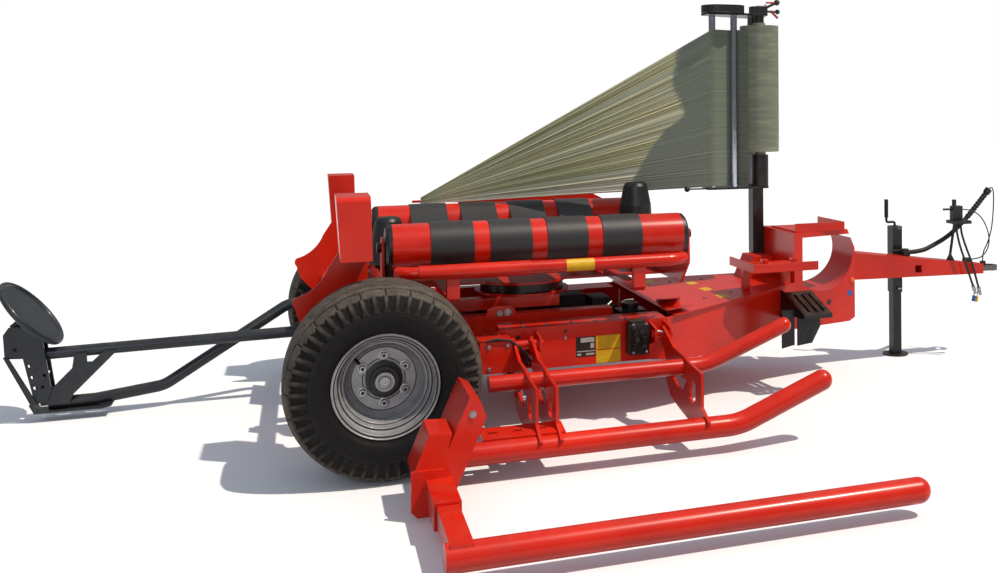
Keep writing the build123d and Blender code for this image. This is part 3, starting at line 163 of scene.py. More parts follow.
def mix(tree, share, a, b):
    """Mixes two colours, given as hex or sockets."""
    a, b = (value if isinstance(value, bpy.types.NodeSocket) else linear(value) for value in (a, b))
    return add(tree, "ShaderNodeMix", {"data_type": "RGBA"}, i0=share, i6=a, i7=b).outputs[2]


def maths(tree, what, a, b):
    """Joins two numbers or sockets by an operation."""
    return add(tree, "ShaderNodeMath", {"operation": what}, i0=a, i1=b).outputs[0]


def scaled(tree, place, *by):
    """The place with each axis multiplied."""
    return add(tree, "ShaderNodeVectorMath", {"operation": "MULTIPLY"}, i0=place, i1=by).outputs[0]


def carried(tree, name):
    """A number that the mesh carries at its vertices."""
    return add(tree, "ShaderNodeAttribute", {"attribute_name": name}).outputs["Fac"]


def bump(tree, shader, height, depth_mm, strength=1.0, normal=None):
    """Bump whose full height is depth_mm, on top of the normal if one is given."""
    under = {} if normal is None else {"Normal": normal}
    made = add(tree, "ShaderNodeBump", Height=height, Distance=depth_mm / 1000, Strength=strength, **under)
    feed(tree, shader, Normal=made.outputs["Normal"])


def soft_edges(tree, radius_mm):
    """Rounds the shading of hard edges, as paint does on folded plate."""
    return add(tree, "ShaderNodeBevel", {"samples": 4}, Radius=radius_mm / 1000).outputs["Normal"]


def edge_share(tree, radius_mm):
    """1 along convex and concave edges, 0 on flats: where the rounded normal leaves the true one."""
    rounded = soft_edges(tree, radius_mm)
    true = tree.nodes.new("ShaderNodeNewGeometry").outputs["Normal"]
    dot = add(tree, "ShaderNodeVectorMath", {"operation": "DOT_PRODUCT"}, i0=rounded, i1=true)
    return ramp(tree, dot.outputs["Value"], 0.995, 0.9)


def dust_from_above(tree, power=2.0):
    """More where a face looks up."""
    normal = tree.nodes.new("ShaderNodeNewGeometry").outputs["Normal"]
    up = add(tree, "ShaderNodeSeparateXYZ", Vector=normal).outputs["Z"]
    return maths(tree, "POWER", maths(tree, "MAXIMUM", up, 0.0), power)


def make_paint(name, colour, shade, dust, roughness=0.3):
    """Thick gloss enamel on steel plate: a wet shine, faint orange peel, road dust and chipped edges."""
    made, tree, shader, place = material(name, roughness, coat=0.22, coat_roughness=0.16, colour=colour)
    base = mix(tree, ramp(tree, noise(tree, place, 420, 3), 0.35, 0.7), colour, shade)
    film = maths(tree, "MULTIPLY", ramp(tree, noise(tree, place, 160, 6, 0.65), 0.5, 0.82), 0.4)
    patches = ramp(tree, noise(tree, place, 60, 6, 0.7), 0.42, 0.85)
    grime = maths(tree, "MULTIPLY", dust_from_above(tree, 3.0), patches)
    share = maths(tree, "MULTIPLY", maths(tree, "MAXIMUM", film, grime), dust)
    base = mix(tree, share, base, "#8E7F6C")
    speck = ramp(tree, noise(tree, place, 9, 2, 0.6), 0.70, 0.76)
    base = mix(tree, maths(tree, "MULTIPLY", speck, edge_share(tree, 6)), base, "#3A2620")
    rough = ramp(tree, share, 0.0, 1.0, roughness, 0.8)
    feed(tree, shader, Base_Color=base, Roughness=rough, Specular_IOR_Level=0.3)
    bump(tree, shader, noise(tree, place, 5, 2, 0.4), 0.05, 0.5, soft_edges(tree, 2.5))
    return made


def make_tyre_rubber():
    """Weathered tyre rubber: matt black sidewall, tan dust packed where the tread meets the road."""
    made, tree, shader, place = material("tyre_rubber", roughness=0.72, colour="#131212")
    patchy = ramp(tree, noise(tree, place, 70, 5, 0.65), 0.3, 0.7)
    dusty = mix(tree, patchy, "#3A3531", "#645C54")
    wall = mix(tree, ramp(tree, noise(tree, place, 90, 5, 0.6), 0.4, 0.75), "#080708", "#121010")
    base = mix(tree, carried(tree, "tread"), wall, dusty)
    rough = ramp(tree, noise(tree, place, 25, 4), 0.0, 1.0, 0.55, 0.9)
    feed(tree, shader, Base_Color=base, Roughness=rough, Specular_IOR_Level=0.25)
    bump(tree, shader, noise(tree, place, 3, 3, 0.7), 0.4, 0.6)
    return made


def make_rim_paint():
    """Silver wheel enamel: half metallic under a thin coat, with brown road film in patches."""
    made, tree, shader, place = material("rim_paint", 0.42, metallic=0.35, coat=0.2, colour="#9FA0A3")
    grime = ramp(tree, noise(tree, place, 55, 6, 0.7), 0.42, 0.75)
    feed(tree, shader, Base_Color=mix(tree, maths(tree, "MULTIPLY", grime, 0.55), "#A4A5A8", "#6F655C"))
    bump(tree, shader, noise(tree, place, 2.2, 2), 0.06, 0.5, soft_edges(tree, 2.0))
    return made


def make_hub():
    """Hub: black enamelled boss inside the stud ring, plated cap in the middle and plated nuts round it."""
    made, tree, shader, place = material("hub_metal", roughness=0.35, metallic=1.0, colour="#A6A8AB")
    middle = at(0, 0, WHEEL)
    flat = scaled(tree, place, 1.0, 0.0, 1.0)
    away = add(tree, "ShaderNodeVectorMath", {"operation": "DISTANCE"}, i0=flat, i1=(middle.x, 0.0, middle.z))
    away = away.outputs["Value"]
    black = maths(tree, "MULTIPLY", ramp(tree, away, 0.0365, 0.0368), ramp(tree, away, 0.0865, 0.0862))
    base = mix(tree, ramp(tree, noise(tree, place, 12, 4), 0.4, 0.75), "#B4B7BB", "#7C7B79")
    bare = maths(tree, "SUBTRACT", 1.0, black)
    rough = maths(tree, "ADD", maths(tree, "MULTIPLY", black, 0.12), 0.33)
    feed(tree, shader, Base_Color=mix(tree, black, base, "#0E0D0D"), Metallic=bare, Roughness=rough)
    bump(tree, shader, noise(tree, place, 2.0, 2), 0.05, 0.5, soft_edges(tree, 1.5))
    return made


def make_belt_rubber():
    """Smooth conveyor rubber: charcoal, a satin sheen on the crown, faint lengthwise scuffs and dust."""
    made, tree, shader, place = material("belt_rubber", roughness=0.5, colour="#2A292B")
    scuff = ramp(tree, noise(tree, scaled(tree, place, 1.0, 0.06, 0.06), 7, 3), 0.5, 0.8)
    base = mix(tree, maths(tree, "MULTIPLY", scuff, 0.35), "#1C1B1D", "#3A3838")
    base = mix(tree, maths(tree, "MULTIPLY", dust_from_above(tree, 4), 0.22), base, "#5C5A59")
    feed(tree, shader, Base_Color=base)
    bump(tree, shader, noise(tree, place, 1.6, 2), 0.12, 0.4)
    return made


def make_plastic(name, colour, roughness):
    """Moulded black plastic or rubber: fine grain, slightly grey where it is handled."""
    made, tree, shader, place = material(name, roughness=roughness, colour=colour)
    base = mix(tree, ramp(tree, noise(tree, place, 40, 4), 0.5, 0.85), colour, "#2A292A")
    feed(tree, shader, Base_Color=base)
    bump(tree, shader, noise(tree, place, 1.2, 2), 0.08, 0.5, soft_edges(tree, 2.0))
    return made


def make_label(name, colour, shade):
    """Printed vinyl left blank: flat colour, a satin face, faded and rubbed in patches."""
    made, tree, shader, place = material(name, roughness=0.45, colour=colour)
    base = mix(tree, ramp(tree, noise(tree, place, 30, 4), 0.4, 0.75), colour, shade)
    feed(tree, shader, Base_Color=base)
    return made


def make_metal(name, colour, roughness, spread=0.15):
    """Bare or plated metal: bright reflections broken by patches of oil and fine grain."""
    made, tree, shader, place = material(name, roughness=roughness, metallic=1.0, colour=colour)
    low, high = max(0.04, roughness - spread), roughness + spread
    feed(tree, shader, Roughness=ramp(tree, noise(tree, place, 25, 5, 0.65), 0.0, 1.0, low, high))
    bump(tree, shader, noise(tree, place, 1.5, 2), 0.03, 0.4, soft_edges(tree, 1.0))
    return made


def make_film():
    """Stretched wrap film: sage green and smooth by the rollers, darker there as a painted shadow of the film
    roll and the mast, then straw and olive streaks in pleats, the pale straw partly painted highlight.
    """
    made, tree, shader, _ = material("wrap_film", roughness=0.22, colour="#9BA088")
    across = carried(tree, "pleat")
    kind, flat = "ShaderNodeTexNoise", {"noise_dimensions": "1D"}
    # Streaks across the pleats: olive film colour and pale straw that is partly painted highlight on the folds.
    fine = ramp(tree, add(tree, kind, flat, W=across, Scale=70.0, Detail=4.0).outputs["Fac"], 0.36, 0.68)
    broad = add(tree, kind, flat, W=across, Scale=9.0, Detail=2.0).outputs["Fac"]
    pleated = mix(tree, ramp(tree, broad, 0.4, 0.7), mix(tree, fine, "#9EA27E", "#EDE9C4"), "#BCC2AA")
    pale = maths(tree, "MULTIPLY", ramp(tree, across, 0.22, 0.04), 0.75)
    # The smooth part's darker sage green is a painted shadow of the film roll and the mast.
    plain = mix(tree, maths(tree, "MULTIPLY", fine, 0.5), "#7C887A", "#99A18F")
    base = mix(tree, carried(tree, "pleated_and_lit"), plain, mix(tree, pale, pleated, "#E8E3D6"))
    feed(tree, shader, Base_Color=base, Specular_IOR_Level=0.6)
    glow = add(tree, "ShaderNodeBsdfTranslucent", Color=base)
    both = add(tree, "ShaderNodeMixShader", Fac=0.3, i1=shader.outputs[0], i2=glow.outputs[0])
    feed(tree, tree.nodes["Material Output"], Surface=both.outputs[0])
    return made


def make_film_roll():
    """A full roll of wrap film: sage green, tight layers with a soft sheen and fine rings at the ends."""
    made, tree, shader, place = material("film_roll", roughness=0.3, coat=0.3, colour="#79816F")
    flat = scaled(tree, place, 0.15, 0.15, 1.0)
    base = mix(tree, ramp(tree, noise(tree, flat, 24, 3), 0.4, 0.7), "#737B69", "#8B927D")
    feed(tree, shader, Base_Color=base)
    bump(tree, shader, noise(tree, flat, 10, 2), 0.15, 0.3)
    return made


class WrapperPaint(bpy.types.PropertyGroup):
    """Colours of the two paints and of the blank stickers."""

    steel: bpy.props.FloatVectorProperty(
        name="Steel", description="Paint of the frame, the table and the loader", subtype="COLOR",
        min=0, max=1, default=linear("#DA2206")[:3],
    )
    tail: bpy.props.FloatVectorProperty(
        name="Tail", description="Paint of the tail with its plate and disc", subtype="COLOR",
        min=0, max=1, default=linear("#1B2027")[:3],
    )
    sticker: bpy.props.FloatVectorProperty(
        name="Sticker", description="Blank stickers on the tray, the deck and the guard tubes", subtype="COLOR",
        min=0, max=1, default=linear("#DDAE0C")[:3],
    )


def chosen(name):
    """A colour of the panel's paint settings."""
    return getattr(bpy.context.scene.wrapper_paint, name)


MATERIALS = {
    "paint": lambda: make_paint("red_paint", chosen("steel"), "#BC1804", 0.2),
    "slate": lambda: make_paint("slate_paint", chosen("tail"), "#252C34", 0.35, 0.42),
    "black_paint": lambda: make_paint("black_paint", "#0D0D0D", "#151414", 0.35, 0.4),
    "yellow": lambda: make_label("yellow_label", chosen("sticker"), "#C99C0A"),
    "tyre": make_tyre_rubber,
    "rim": make_rim_paint,
    "hub": make_hub,
    "belt": make_belt_rubber,
    "plastic": lambda: make_plastic("black_plastic", "#0E0E0E", 0.42),
    "rubber": lambda: make_plastic("black_rubber", "#111010", 0.62),
    "zinc": lambda: make_metal("zinc_plate", "#9A9C9E", 0.4),
    "steel": lambda: make_metal("bare_steel", "#6E6A66", 0.45),
    "chrome": lambda: make_metal("chrome", "#B9BEC8", 0.12, 0.06),
    "blank_pale": lambda: make_label("pale_label", "#B3AEA8", "#958E88"),
    "blank_blue": lambda: make_label("blue_plastic", "#2A62B4", "#1B4FA0"),
    "orange_lens": lambda: make_label("orange_marker", "#F0641E", "#E8551A"),
    "film": make_film,
    "film_roll": make_film_roll,
}
made_materials = {}


def skin(name):
    """The material of that name, made once."""
    if name not in made_materials:
        made_materials[name] = MATERIALS[name]()
    return made_materials[name]


NODE_SKINS = {
    "paint": (
        "axle_beam", "deck_cover", "drawbar", "film_trays", "guard_tubes", "headstock", "loader_pivots",
        "loader_ribs", "loader_tubes", "main_frame", "mast_pedestal", "rear_uprights", "rollers", "side_fins",
        "slide_arm", "swing_channel", "table_frame", "tip_bearings", "tip_frame",
    ),
    "black_paint": (
        "drive_motor", "jack_crank", "jack_foot", "jack_sleeve", "lift_barrel", "mast_frame", "slew_ring",
        "step_bracket", "tilt_barrel", "valve_block",
    ),
    "plastic": ("cones", "film_latch", "hose_clip", "hose_stay", "plug_holder", "roller_caps", "top_housing"),
    "rubber": ("cable_loops", "hose_bundle", "hydraulic_hoses", "step_flaps"),
    "slate": ("tail_disc", "tail_ends", "tail_gusset", "tail_plate", "tail_skid", "tail_tubes"),
    "rim": ("rim_left", "rim_right"),
    "hub": ("hub_left", "hub_right"),
    "tyre": ("tyre_left", "tyre_right"),
    "belt": ("belts",),
    "chrome": ("lift_rod", "stretch_rollers", "tilt_rod"),
    "zinc": ("hose_couplers",),
    "steel": ("tow_eye",),
    "film_roll": ("film_roll",),
    "film": ("film_web",),
}


def smooth_by_angle(mesh, degrees):
    """Smooth shading with hard edges above the angle."""
    mesh.shade_smooth()
    mesh.set_sharp_from_angle(angle=math.radians(degrees))


def piece(name, mesh, skin_name, body, slot=None, replaces=(), degrees=32):
    """Links a finished mesh as a piece that rides on a body."""
    smooth_by_angle(mesh, degrees)
    mesh.materials.clear()
    mesh.materials.append(skin(skin_name))
    made = in_scene(name, mesh)
    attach(made, body)
    if replaces:
        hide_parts(*replaces)
    return made


def from_bmesh(name, work):
    """The work as a mesh whose faces look outwards."""
    mesh = bpy.data.meshes.new(name)
    bmesh.ops.recalc_face_normals(work, faces=work.faces)
    work.to_mesh(mesh)
    work.free()
    return mesh


def shape(name, work, *looks):
    """Makes the work a piece with its material and its body. Its slot, if it has one, is not used."""
    return piece(name, from_bmesh(name, work), *looks)


def smooth(value):
    """0 below 0, 1 above 1, and an S curve between."""
    value = min(1.0, max(0.0, value))
    return value * value * (3 - 2 * value)


def between(table, place):
    """Reads a value from pairs of (place, value), straight between them."""
    for (a, low), (b, high) in zip(table, table[1:]):
        if place <= b:
            return low + (high - low) * max(0.0, (place - a) / (b - a))
    return table[-1][1]


def curve_through(points, steps=14):
    """A smooth line through the points, given as many short runs."""
    ends = [points[0], *points, points[-1]]
    line = []
    for a, b, c, d in zip(ends, ends[1:], ends[2:], ends[3:]):
        for i in range(steps):
            t = i / steps
            bend = (2 * a - 5 * b + 4 * c - d) * t * t + (3 * b - a - 3 * c + d) * t**3
            line.append(0.5 * ((2 * b) + (c - a) * t + bend))
    return [*line, points[-1]]


def axes_of(direction):
    """Two directions square to the one given, and that one."""
    along = Vector(direction).normalized()
    side = along.orthogonal().normalized()
    return side, along.cross(side), along


def ring(work, middle, side, up, radius, steps):
    """Vertices in a circle, its radius in mm."""
    turns = [math.tau * i / steps for i in range(steps)]
    return [work.verts.new(middle + (side * math.cos(t) + up * math.sin(t)) * radius / 1000) for t in turns]


def wall(work, a, b):
    """Faces between two closed loops of vertices. A loop of one vertex is a point."""
    steps = max(len(a), len(b))
    for i in range(steps):
        j = (i + 1) % steps
        corners = [a[i % len(a)], a[j % len(a)], b[j % len(b)], b[i % len(b)]]
        work.faces.new(list(dict.fromkeys(corners)))


def tube(work, rings):
    """Walls from ring to ring, and both ends closed."""
    for a, b in zip(rings, rings[1:]):
        wall(work, a, b)
    work.faces.new(rings[0][::-1])
    work.faces.new(rings[-1])


def lathe(work, profile, origin, direction, steps=48):
    """Turns a profile of (along, radius) in mm about an axis. A radius of 0 closes an end."""
    side, up, along = axes_of(direction)
    rings = []
    for far, radius in profile:
        middle = origin + along * far / 1000
        rings.append(ring(work, middle, side, up, radius, steps) if radius else [work.verts.new(middle)])
    for a, b in zip(rings, rings[1:]):
        wall(work, a, b)


def block(work, low, high, bevel=0.0):
    """A box between two corners given in mm, its edges cut by the bevel."""
    made = bmesh.ops.create_cube(work, size=1.0)["verts"]
    a, b = at(*low), at(*high)
    for vert in made:
        vert.co = Vector([a[i] + (vert.co[i] + 0.5) * (b[i] - a[i]) for i in range(3)])
    if bevel:
        edges = list({e for v in made for e in v.link_edges})
        bmesh.ops.bevel(work, geom=edges, offset=bevel / 1000, segments=2, affect="EDGES", profile=0.6)


def rod(work, points, radius, steps=12):
    """A round bar along straight runs between points in mm, with closed ends."""
    places = [at(*p) for p in points]
    rings = []
    for i, place in enumerate(places):
        way = (places[min(i + 1, len(places) - 1)] - places[max(i - 1, 0)]).normalized()
        if not rings:
            side = way.orthogonal().normalized()
        side = (side - way * side.dot(way)).normalized()
        rings.append(ring(work, place, side, way.cross(side), radius, steps))
    tube(work, rings)


def panel(work, corners, thick, direction):
    """A flat plate with corners in mm, thickened along a direction."""
    push = Vector(direction).normalized() * thick / 1000
    low = [work.verts.new(at(*c)) for c in corners]
    high = [work.verts.new(v.co + push) for v in low]
    work.faces.new(low[::-1])
    work.faces.new(high)
    wall(work, low, high)


def on_tray(work, low_x, low_z, high_x, high_z, thick, out=0.0):
    """A flat rectangle on the tray's right side, or that far out from it."""
    y = TRAY_SIDE - out
    corners = [(low_x, y, low_z), (high_x, y, low_z), (high_x, y, high_z), (low_x, y, high_z)]
    panel(work, corners, thick, RIGHT)


# Camera and studio


class WRAPPER_OT_stage(bpy.types.Operator):
    """Camera at the photograph's viewing angle, pale floor, soft sky and lamps"""

    bl_idname = "wrapper.stage"
    bl_label = "Camera and studio"

    def execute(self, context):
        scene = context.scene
        settings = scene.wrapper_stage
        camera = bpy.data.cameras.new("camera")
        camera.sensor_width = 36.0
        camera.lens = settings.lens
        camera.shift_x, camera.shift_y = settings.shift
        camera.clip_end = 200.0
        holder = in_scene("camera", camera)
        turn = Matrix.Rotation(-math.radians(settings.heading), 4, "Z")
        tilt = Matrix.Rotation(math.radians(90), 4, "X")
        roll = Matrix.Rotation(-math.radians(settings.roll), 4, "Z")
        holder.matrix_world = Matrix.Translation(at(*settings.place)) @ turn @ tilt @ roll
        scene.camera = holder
        scene.view_settings.view_transform = "Standard"

        world = bpy.data.worlds.new("sky")
        scene.world = world
        world.use_nodes = True
        tree = world.node_tree
        tree.nodes.clear()
        path = tree.nodes.new("ShaderNodeLightPath")
        seen = maths(tree, "MAXIMUM", path.outputs["Is Camera Ray"], path.outputs["Is Transmission Ray"])
        way = tree.nodes.new("ShaderNodeTexCoord").outputs["Generated"]
        high = ramp(tree, add(tree, "ShaderNodeSeparateXYZ", Vector=way).outputs["Z"], -0.15, 0.55)
        sky = mix(tree, high, "#6E665C", "#CDD4DE")
        light = add(tree, "ShaderNodeBackground", Color=sky, Strength=settings.sky)
        white = add(tree, "ShaderNodeBackground", Color=(1, 1, 1, 1), Strength=1.0)
        both = add(tree, "ShaderNodeMixShader", Fac=seen, i1=light.outputs[0], i2=white.outputs[0])
        add(tree, "ShaderNodeOutputWorld", Surface=both.outputs[0])

        for name, direction, energy, size, colour in (
            ("sun", (-0.42, 0.30, -0.86), settings.sun, 0.9, "#FFF4E4"),
            ("fill", (0.25, 0.9, -0.35), settings.fill, 24.0, "#E8EEFA"),
        ):
            lamp = bpy.data.lights.new(name, "SUN")
            lamp.energy = energy
            lamp.angle = math.radians(size)
            lamp.color = linear(colour)[:3]
            stand = in_scene(name, lamp)
            stand.rotation_mode = "QUATERNION"
            stand.rotation_quaternion = Vector(direction).to_track_quat("-Z", "Y")

        work = bmesh.new()
        bmesh.ops.create_grid(work, x_segments=8, y_segments=8, size=30.0)
        mesh = from_bmesh("floor", work)
        floor = in_scene("floor", mesh)
        floor.location = (0, 0, -0.0006)
        made, tree, shader, place = material("floor_pale", roughness=0.9, colour="#F4F5F7")
        path = tree.nodes.new("ShaderNodeLightPath")
        seen = maths(tree, "MAXIMUM", path.outputs["Is Camera Ray"], path.outputs["Is Glossy Ray"])
        seen = maths(tree, "MAXIMUM", seen, path.outputs["Is Transmission Ray"])
        base = mix(tree, seen, "#A29F9A", mix(tree, noise(tree, place, 900, 3), "#F1F4FA", "#F6F8FC"))
        feed(tree, shader, Base_Color=base)
        mesh.materials.append(made)
        return {"FINISHED"}


class WrapperStage(bpy.types.PropertyGroup):
    """Camera and lights."""

    place: bpy.props.FloatVectorProperty(
        name="Place", description="Camera in mm from the ground under the axle's middle", size=3,
        default=(-319.35, -5845.32, 1582.2),
    )
    heading: bpy.props.FloatProperty(
        name="Heading", description="Camera's turn in degrees, to the right of square on to the machine's side",
        default=math.degrees(math.atan(386 / 1070)),
    )
    roll: bpy.props.FloatProperty(name="Roll", description="Camera's roll in degrees", default=0.34)
    lens: bpy.props.FloatProperty(name="Lens", description="Focal length in mm", default=38.52)
    shift: bpy.props.FloatVectorProperty(
        name="Shift", description="Shift of the picture in sensor widths", size=2, default=(-0.19, -0.1788)
    )
    sky: bpy.props.FloatProperty(name="Sky", description="Strength of the sky", min=0, default=0.62)
    sun: bpy.props.FloatProperty(name="Sun", description="Strength of the sun", min=0, default=3.25)
    fill: bpy.props.FloatProperty(name="Fill", description="Strength of the lamp behind", min=0, default=0.45)


# Cords


def cord_curve(name, points, radius):
    """A NURBS tube through the room between control points given in mm."""
    curve = bpy.data.curves.new(name, "CURVE")
    curve.dimensions = "3D"
    curve.resolution_u = 10
    curve.bevel_depth = radius / 1000
    curve.bevel_resolution = 3
    curve.use_fill_caps = True
    line = curve.splines.new("NURBS")
    line.points.add(len(points) - 1)
    for control, place in zip(line.points, points):
        control.co = (*at(*place), 1)
    line.order_u = 3
    line.use_endpoint_u = True
    return in_scene(name, curve)


def line_of(curve):
    """Points along a cord's own line, and its length in metres."""
    bare = curve.copy()
    bare.data = curve.data.copy()
    bare.data.bevel_depth = 0
    bpy.context.scene.collection.objects.link(bare)
    bpy.context.view_layer.update()
    mesh = bpy.data.meshes.new_from_object(bare.evaluated_get(bpy.context.evaluated_depsgraph_get()))
    points = [v.co.copy() for v in mesh.vertices]
    bpy.data.objects.remove(bare)
    bpy.data.meshes.remove(mesh)
    return points, sum((b - a).length for a, b in zip(points, points[1:]))


# Metres along the hose bundle from which it is ribbed, and the cords' control points in millimetres.
RIBS_FROM = 0.49
BUNDLE = (
    (3250, 30, 664), (3350, 30, 664), (3440, 30, 700), (3530, 28, 742), (3608, 24, 798), (3682, 18, 866),
    (3748, 8, 942), (3816, 0, 1022),
)
HOSES = (
    (
        (3535, -84, 840), (3535, -84, 798), (3560, -84, 700), (3600, -84, 600), (3630, -84, 510),
        (3655, -84, 445),
    ),
    (
        (3583, -60, 840), (3583, -60, 792), (3616, -60, 700), (3660, -60, 600), (3690, -60, 505),
        (3712, -60, 430),
    ),
)
CABLES = (
    (
        (3605, -30, 925), (3680, -30, 925), (3770, -22, 868), (3826, -12, 770), (3836, -4, 680),
        (3790, 0, 612), (3722, 0, 600), (3682, 0, 600),
    ),
    (
        (3835.4, -2.3, 1044.8), (3849.6, -4.0, 1061.5), (3874, 0, 1040), (3872, 0, 920), (3858, 0, 790),
        (3822, 0, 690), (3787, 0, 640), (3787, 0, 585),
    ),
)


class WRAPPER_OT_cords(bpy.types.Operator):
    """The corrugated hose bundle, the two free hoses with their couplers and the thin cables"""

    bl_idname = "wrapper.cords"
    bl_label = "Hoses and cables"

    def execute(self, context):
        guide = cord_curve("bundle_line", BUNDLE, 19)
        line, length = line_of(guide)
        bpy.data.objects.remove(guide)
        work = bmesh.new()
        gone, due, rings = 0.0, 0.0, []
        for a, b in zip(line, line[1:]):
            way = (b - a).normalized()
            while due <= gone + (b - a).length:
                up = (Vector(LEFT) - way * way.y).normalized()
                if due > RIBS_FROM:
                    radius = 17.0 + 1.9 * math.cos(math.tau * due / 0.021)
                else:
                    radius = 14.4 + 0.25 * math.cos(math.tau * due / 0.009)
                rings.append(ring(work, a + way * (due - gone), way.cross(up), up, radius, 20))
                due += 0.0021
            gone += (b - a).length
        tube(work, rings)
        bundle = shape("corrugated_hose_bundle", work, "rubber", "frame", "hose_rubber", ["hose_bundle"], 60)
        for name, routes, radius, old in (
            ("free_hose_", HOSES, 7, "hydraulic_hoses"), ("thin_cable_", CABLES, 4, "cable_loops"),
        ):
            for number, route in enumerate(routes):
                cord = cord_curve(f"{name}{number + 1}", route, radius)
                _, length = line_of(cord)
                cord.data.materials.append(skin("rubber"))
                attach(cord, "frame")
                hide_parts(old)
        return {"FINISHED"}


# Tyres

# Half section from the bead over the sidewall to the crown: outward from the wheel's middle, and radius.
TYRE_LINE = (
    (184, 212), (184, 226), (223, 236), (235, 296), (227, 346), (200, 390), (140, 410), (80, WHEEL),
    (0, WHEEL),
)


def tread(turn, out, radius, lugs):
    """How deep the surface lies under the tyre's plain form in mm, and how much dust it holds."""
    edge = abs(turn * lugs % 1 - 0.5) * 2
    wave = 3.5 * math.cos(math.tau * turn * lugs)
    low, high = 319, 385 + wave
    if out > 150 and radius < high:
        if radius < low:
            line = smooth(1 - abs(radius - 311) / 2.5)
            return -1.2 * line, 0.45 * line
        round_end = math.sqrt(max(0.0, 1 - (1 - min(1.0, (radius - low) / 24)) ** 2))
        width = 0.7 * round_end
        drop = smooth((width - edge) / 0.14)
        dusty = (0.15 + 0.6 * smooth((radius - 335) / 45)) * smooth((radius - low) / 12 + 0.3)
        return 8.5 * drop, (1 - drop) * dusty
    zigzag = 11 * abs((turn * lugs / 2) % 1 - 0.5) - 2.7
    depth = max(9.5 * smooth((6.0 - abs(out - middle - zigzag)) / 2.5) for middle in (152, 94))
    sipe = abs((turn * lugs / 2 + 0.5) % 1 - 0.5)
    if out > 152:
        depth = max(depth, 5.5 * smooth((0.05 - sipe) / 0.02))
    elif out < 88:
        depth = max(depth, 4.0 * smooth((0.06 - abs((turn * lugs + out / 120) % 1 - 0.5)) / 0.04))
    return depth, 1.0 - smooth(depth / 3.0)


class WRAPPER_OT_tyres(bpy.types.Operator):
    """Wide flotation tyres: smooth sidewalls, scalloped shoulders, wavy ribs and zigzag grooves"""

    bl_idname = "wrapper.tyres"
    bl_label = "Tyres"

    def execute(self, context):
        settings = context.scene.wrapper_tyre
        line = curve_through([Vector(p) for p in TYRE_LINE])
        rows, gone, due = [], 0.0, 0.0
        for a, b in zip(line, line[1:]):
            way = b - a
            while due <= gone + way.length:
                place = a + way * ((due - gone) / way.length)
                rows.append((place, Vector((way.y, -way.x)).normalized()))
                # The plain wall by the bead needs fewer rows.
                due += 11 if place.x > 180 and place.y < 306 else settings.step
            gone += way.length
        columns = settings.lugs * settings.columns
        section = [(p, n, 1) for p, n in rows] + [(p, n, -1) for p, n in reversed(rows[:-1])]
        for side, name in SIDES:
            work = bmesh.new()
            dust = work.verts.layers.float.new("tread")
            loops = []
            for column in range(columns):
                turn = column / columns
                angle = math.tau * turn
                loop = []
                for place, normal, half in section:
                    shift = 0.0 if half > 0 else 0.5 / settings.lugs
                    depth, dirt = tread(turn + shift, place.x, place.y, settings.lugs)
                    out = (place.x - normal.x * depth) * half * side
                    radius = min(WHEEL, place.y - normal.y * depth)
                    x, z = radius * math.cos(angle), WHEEL + radius * math.sin(angle)
                    vert = work.verts.new(at(x, HALF_TRACK * side + out, z))
                    vert[dust] = dirt
                    loop.append(vert)
                loops.append(loop)
            for a, b in zip(loops, [*loops[1:], loops[0]]):
                wall(work, a, b)
            shape("tyre_rubber_" + name, work, "tyre", "wheel_" + name, "tyre", ["tyre_" + name], 50)
        return {"FINISHED"}


class WrapperTyre(bpy.types.PropertyGroup):
    """Tread of both tyres."""

    lugs: bpy.props.IntProperty(name="Shoulder lugs", description="Lugs round each shoulder", min=8, default=48)
    columns: bpy.props.IntProperty(name="Columns", description="Columns of faces to a lug", min=2, default=10)
    step: bpy.props.FloatProperty(name="Row step", description="Height of a row in mm", min=1, default=5.2)


# Film

# Edge of the film's smooth part, which is also the edge of its painted shadow, on its way up the sheet: (height
# share, share of the way from the table).
FOLD_AND_SHADOW_EDGE = (
    (0, 0.70), (0.1, 0.727), (0.324, 0.786), (0.448, 0.837), (0.498, 0.896), (0.533, 0.906), (0.698, 0.876),
    (0.761, 0.862), (0.895, 0.873), (1, 0.88),
)
# In mm: the film's end at the table, the two stretch rollers from above, the web's middle and height at them.
TABLE_END = (325, 640, 1042)
NEAR_ROLLER, FAR_ROLLER = (1952, 60), (2090, 60)
WEB_Z, WEB_HIGH = 1580, 926


def film_point(far, high, ends):
    """A point of the gathered film in mm, and how strongly it is pleated and lit there: 0 is the smooth part in
    painted shadow.
    """
    (x0, y0, z0, h0), (x1, y1, z1, h1) = ends
    place = Vector((x0 + (x1 - x0) * far, y0 + (y1 - y0) * far, z0 + (z1 - z0) * far))
    place.z += (high - 0.5) * (h0 + (h1 - h0) * far)
    across = Vector((y1 - y0, x0 - x1, 0)).normalized()
    # 0 on the smooth side of the edge, which is also the painted shadow, 1 on the pleated and lit side.
    pleated_and_lit = smooth((between(FOLD_AND_SHADOW_EDGE, high) - far) / 0.012 + 0.5)
    phase = 31 * high + 1.1 * math.sin(19 * high) + 0.7 * math.sin(47 * high + 1.3)
    swing = math.sin(math.tau * phase) + 0.35 * math.sin(math.tau * 2.3 * phase + 0.8)
    tall = (0.7 + 4.6 * smooth(far / 0.5)) * (1 - 0.35 * smooth((far - 0.5) / 0.4)) * (0.14 + 0.86 * pleated_and_lit)
    tall *= 0.65 + 0.35 * math.sin(53 * high + 2.0)
    return place + across * (tall * swing + 1.6 * (1 - pleated_and_lit)), pleated_and_lit


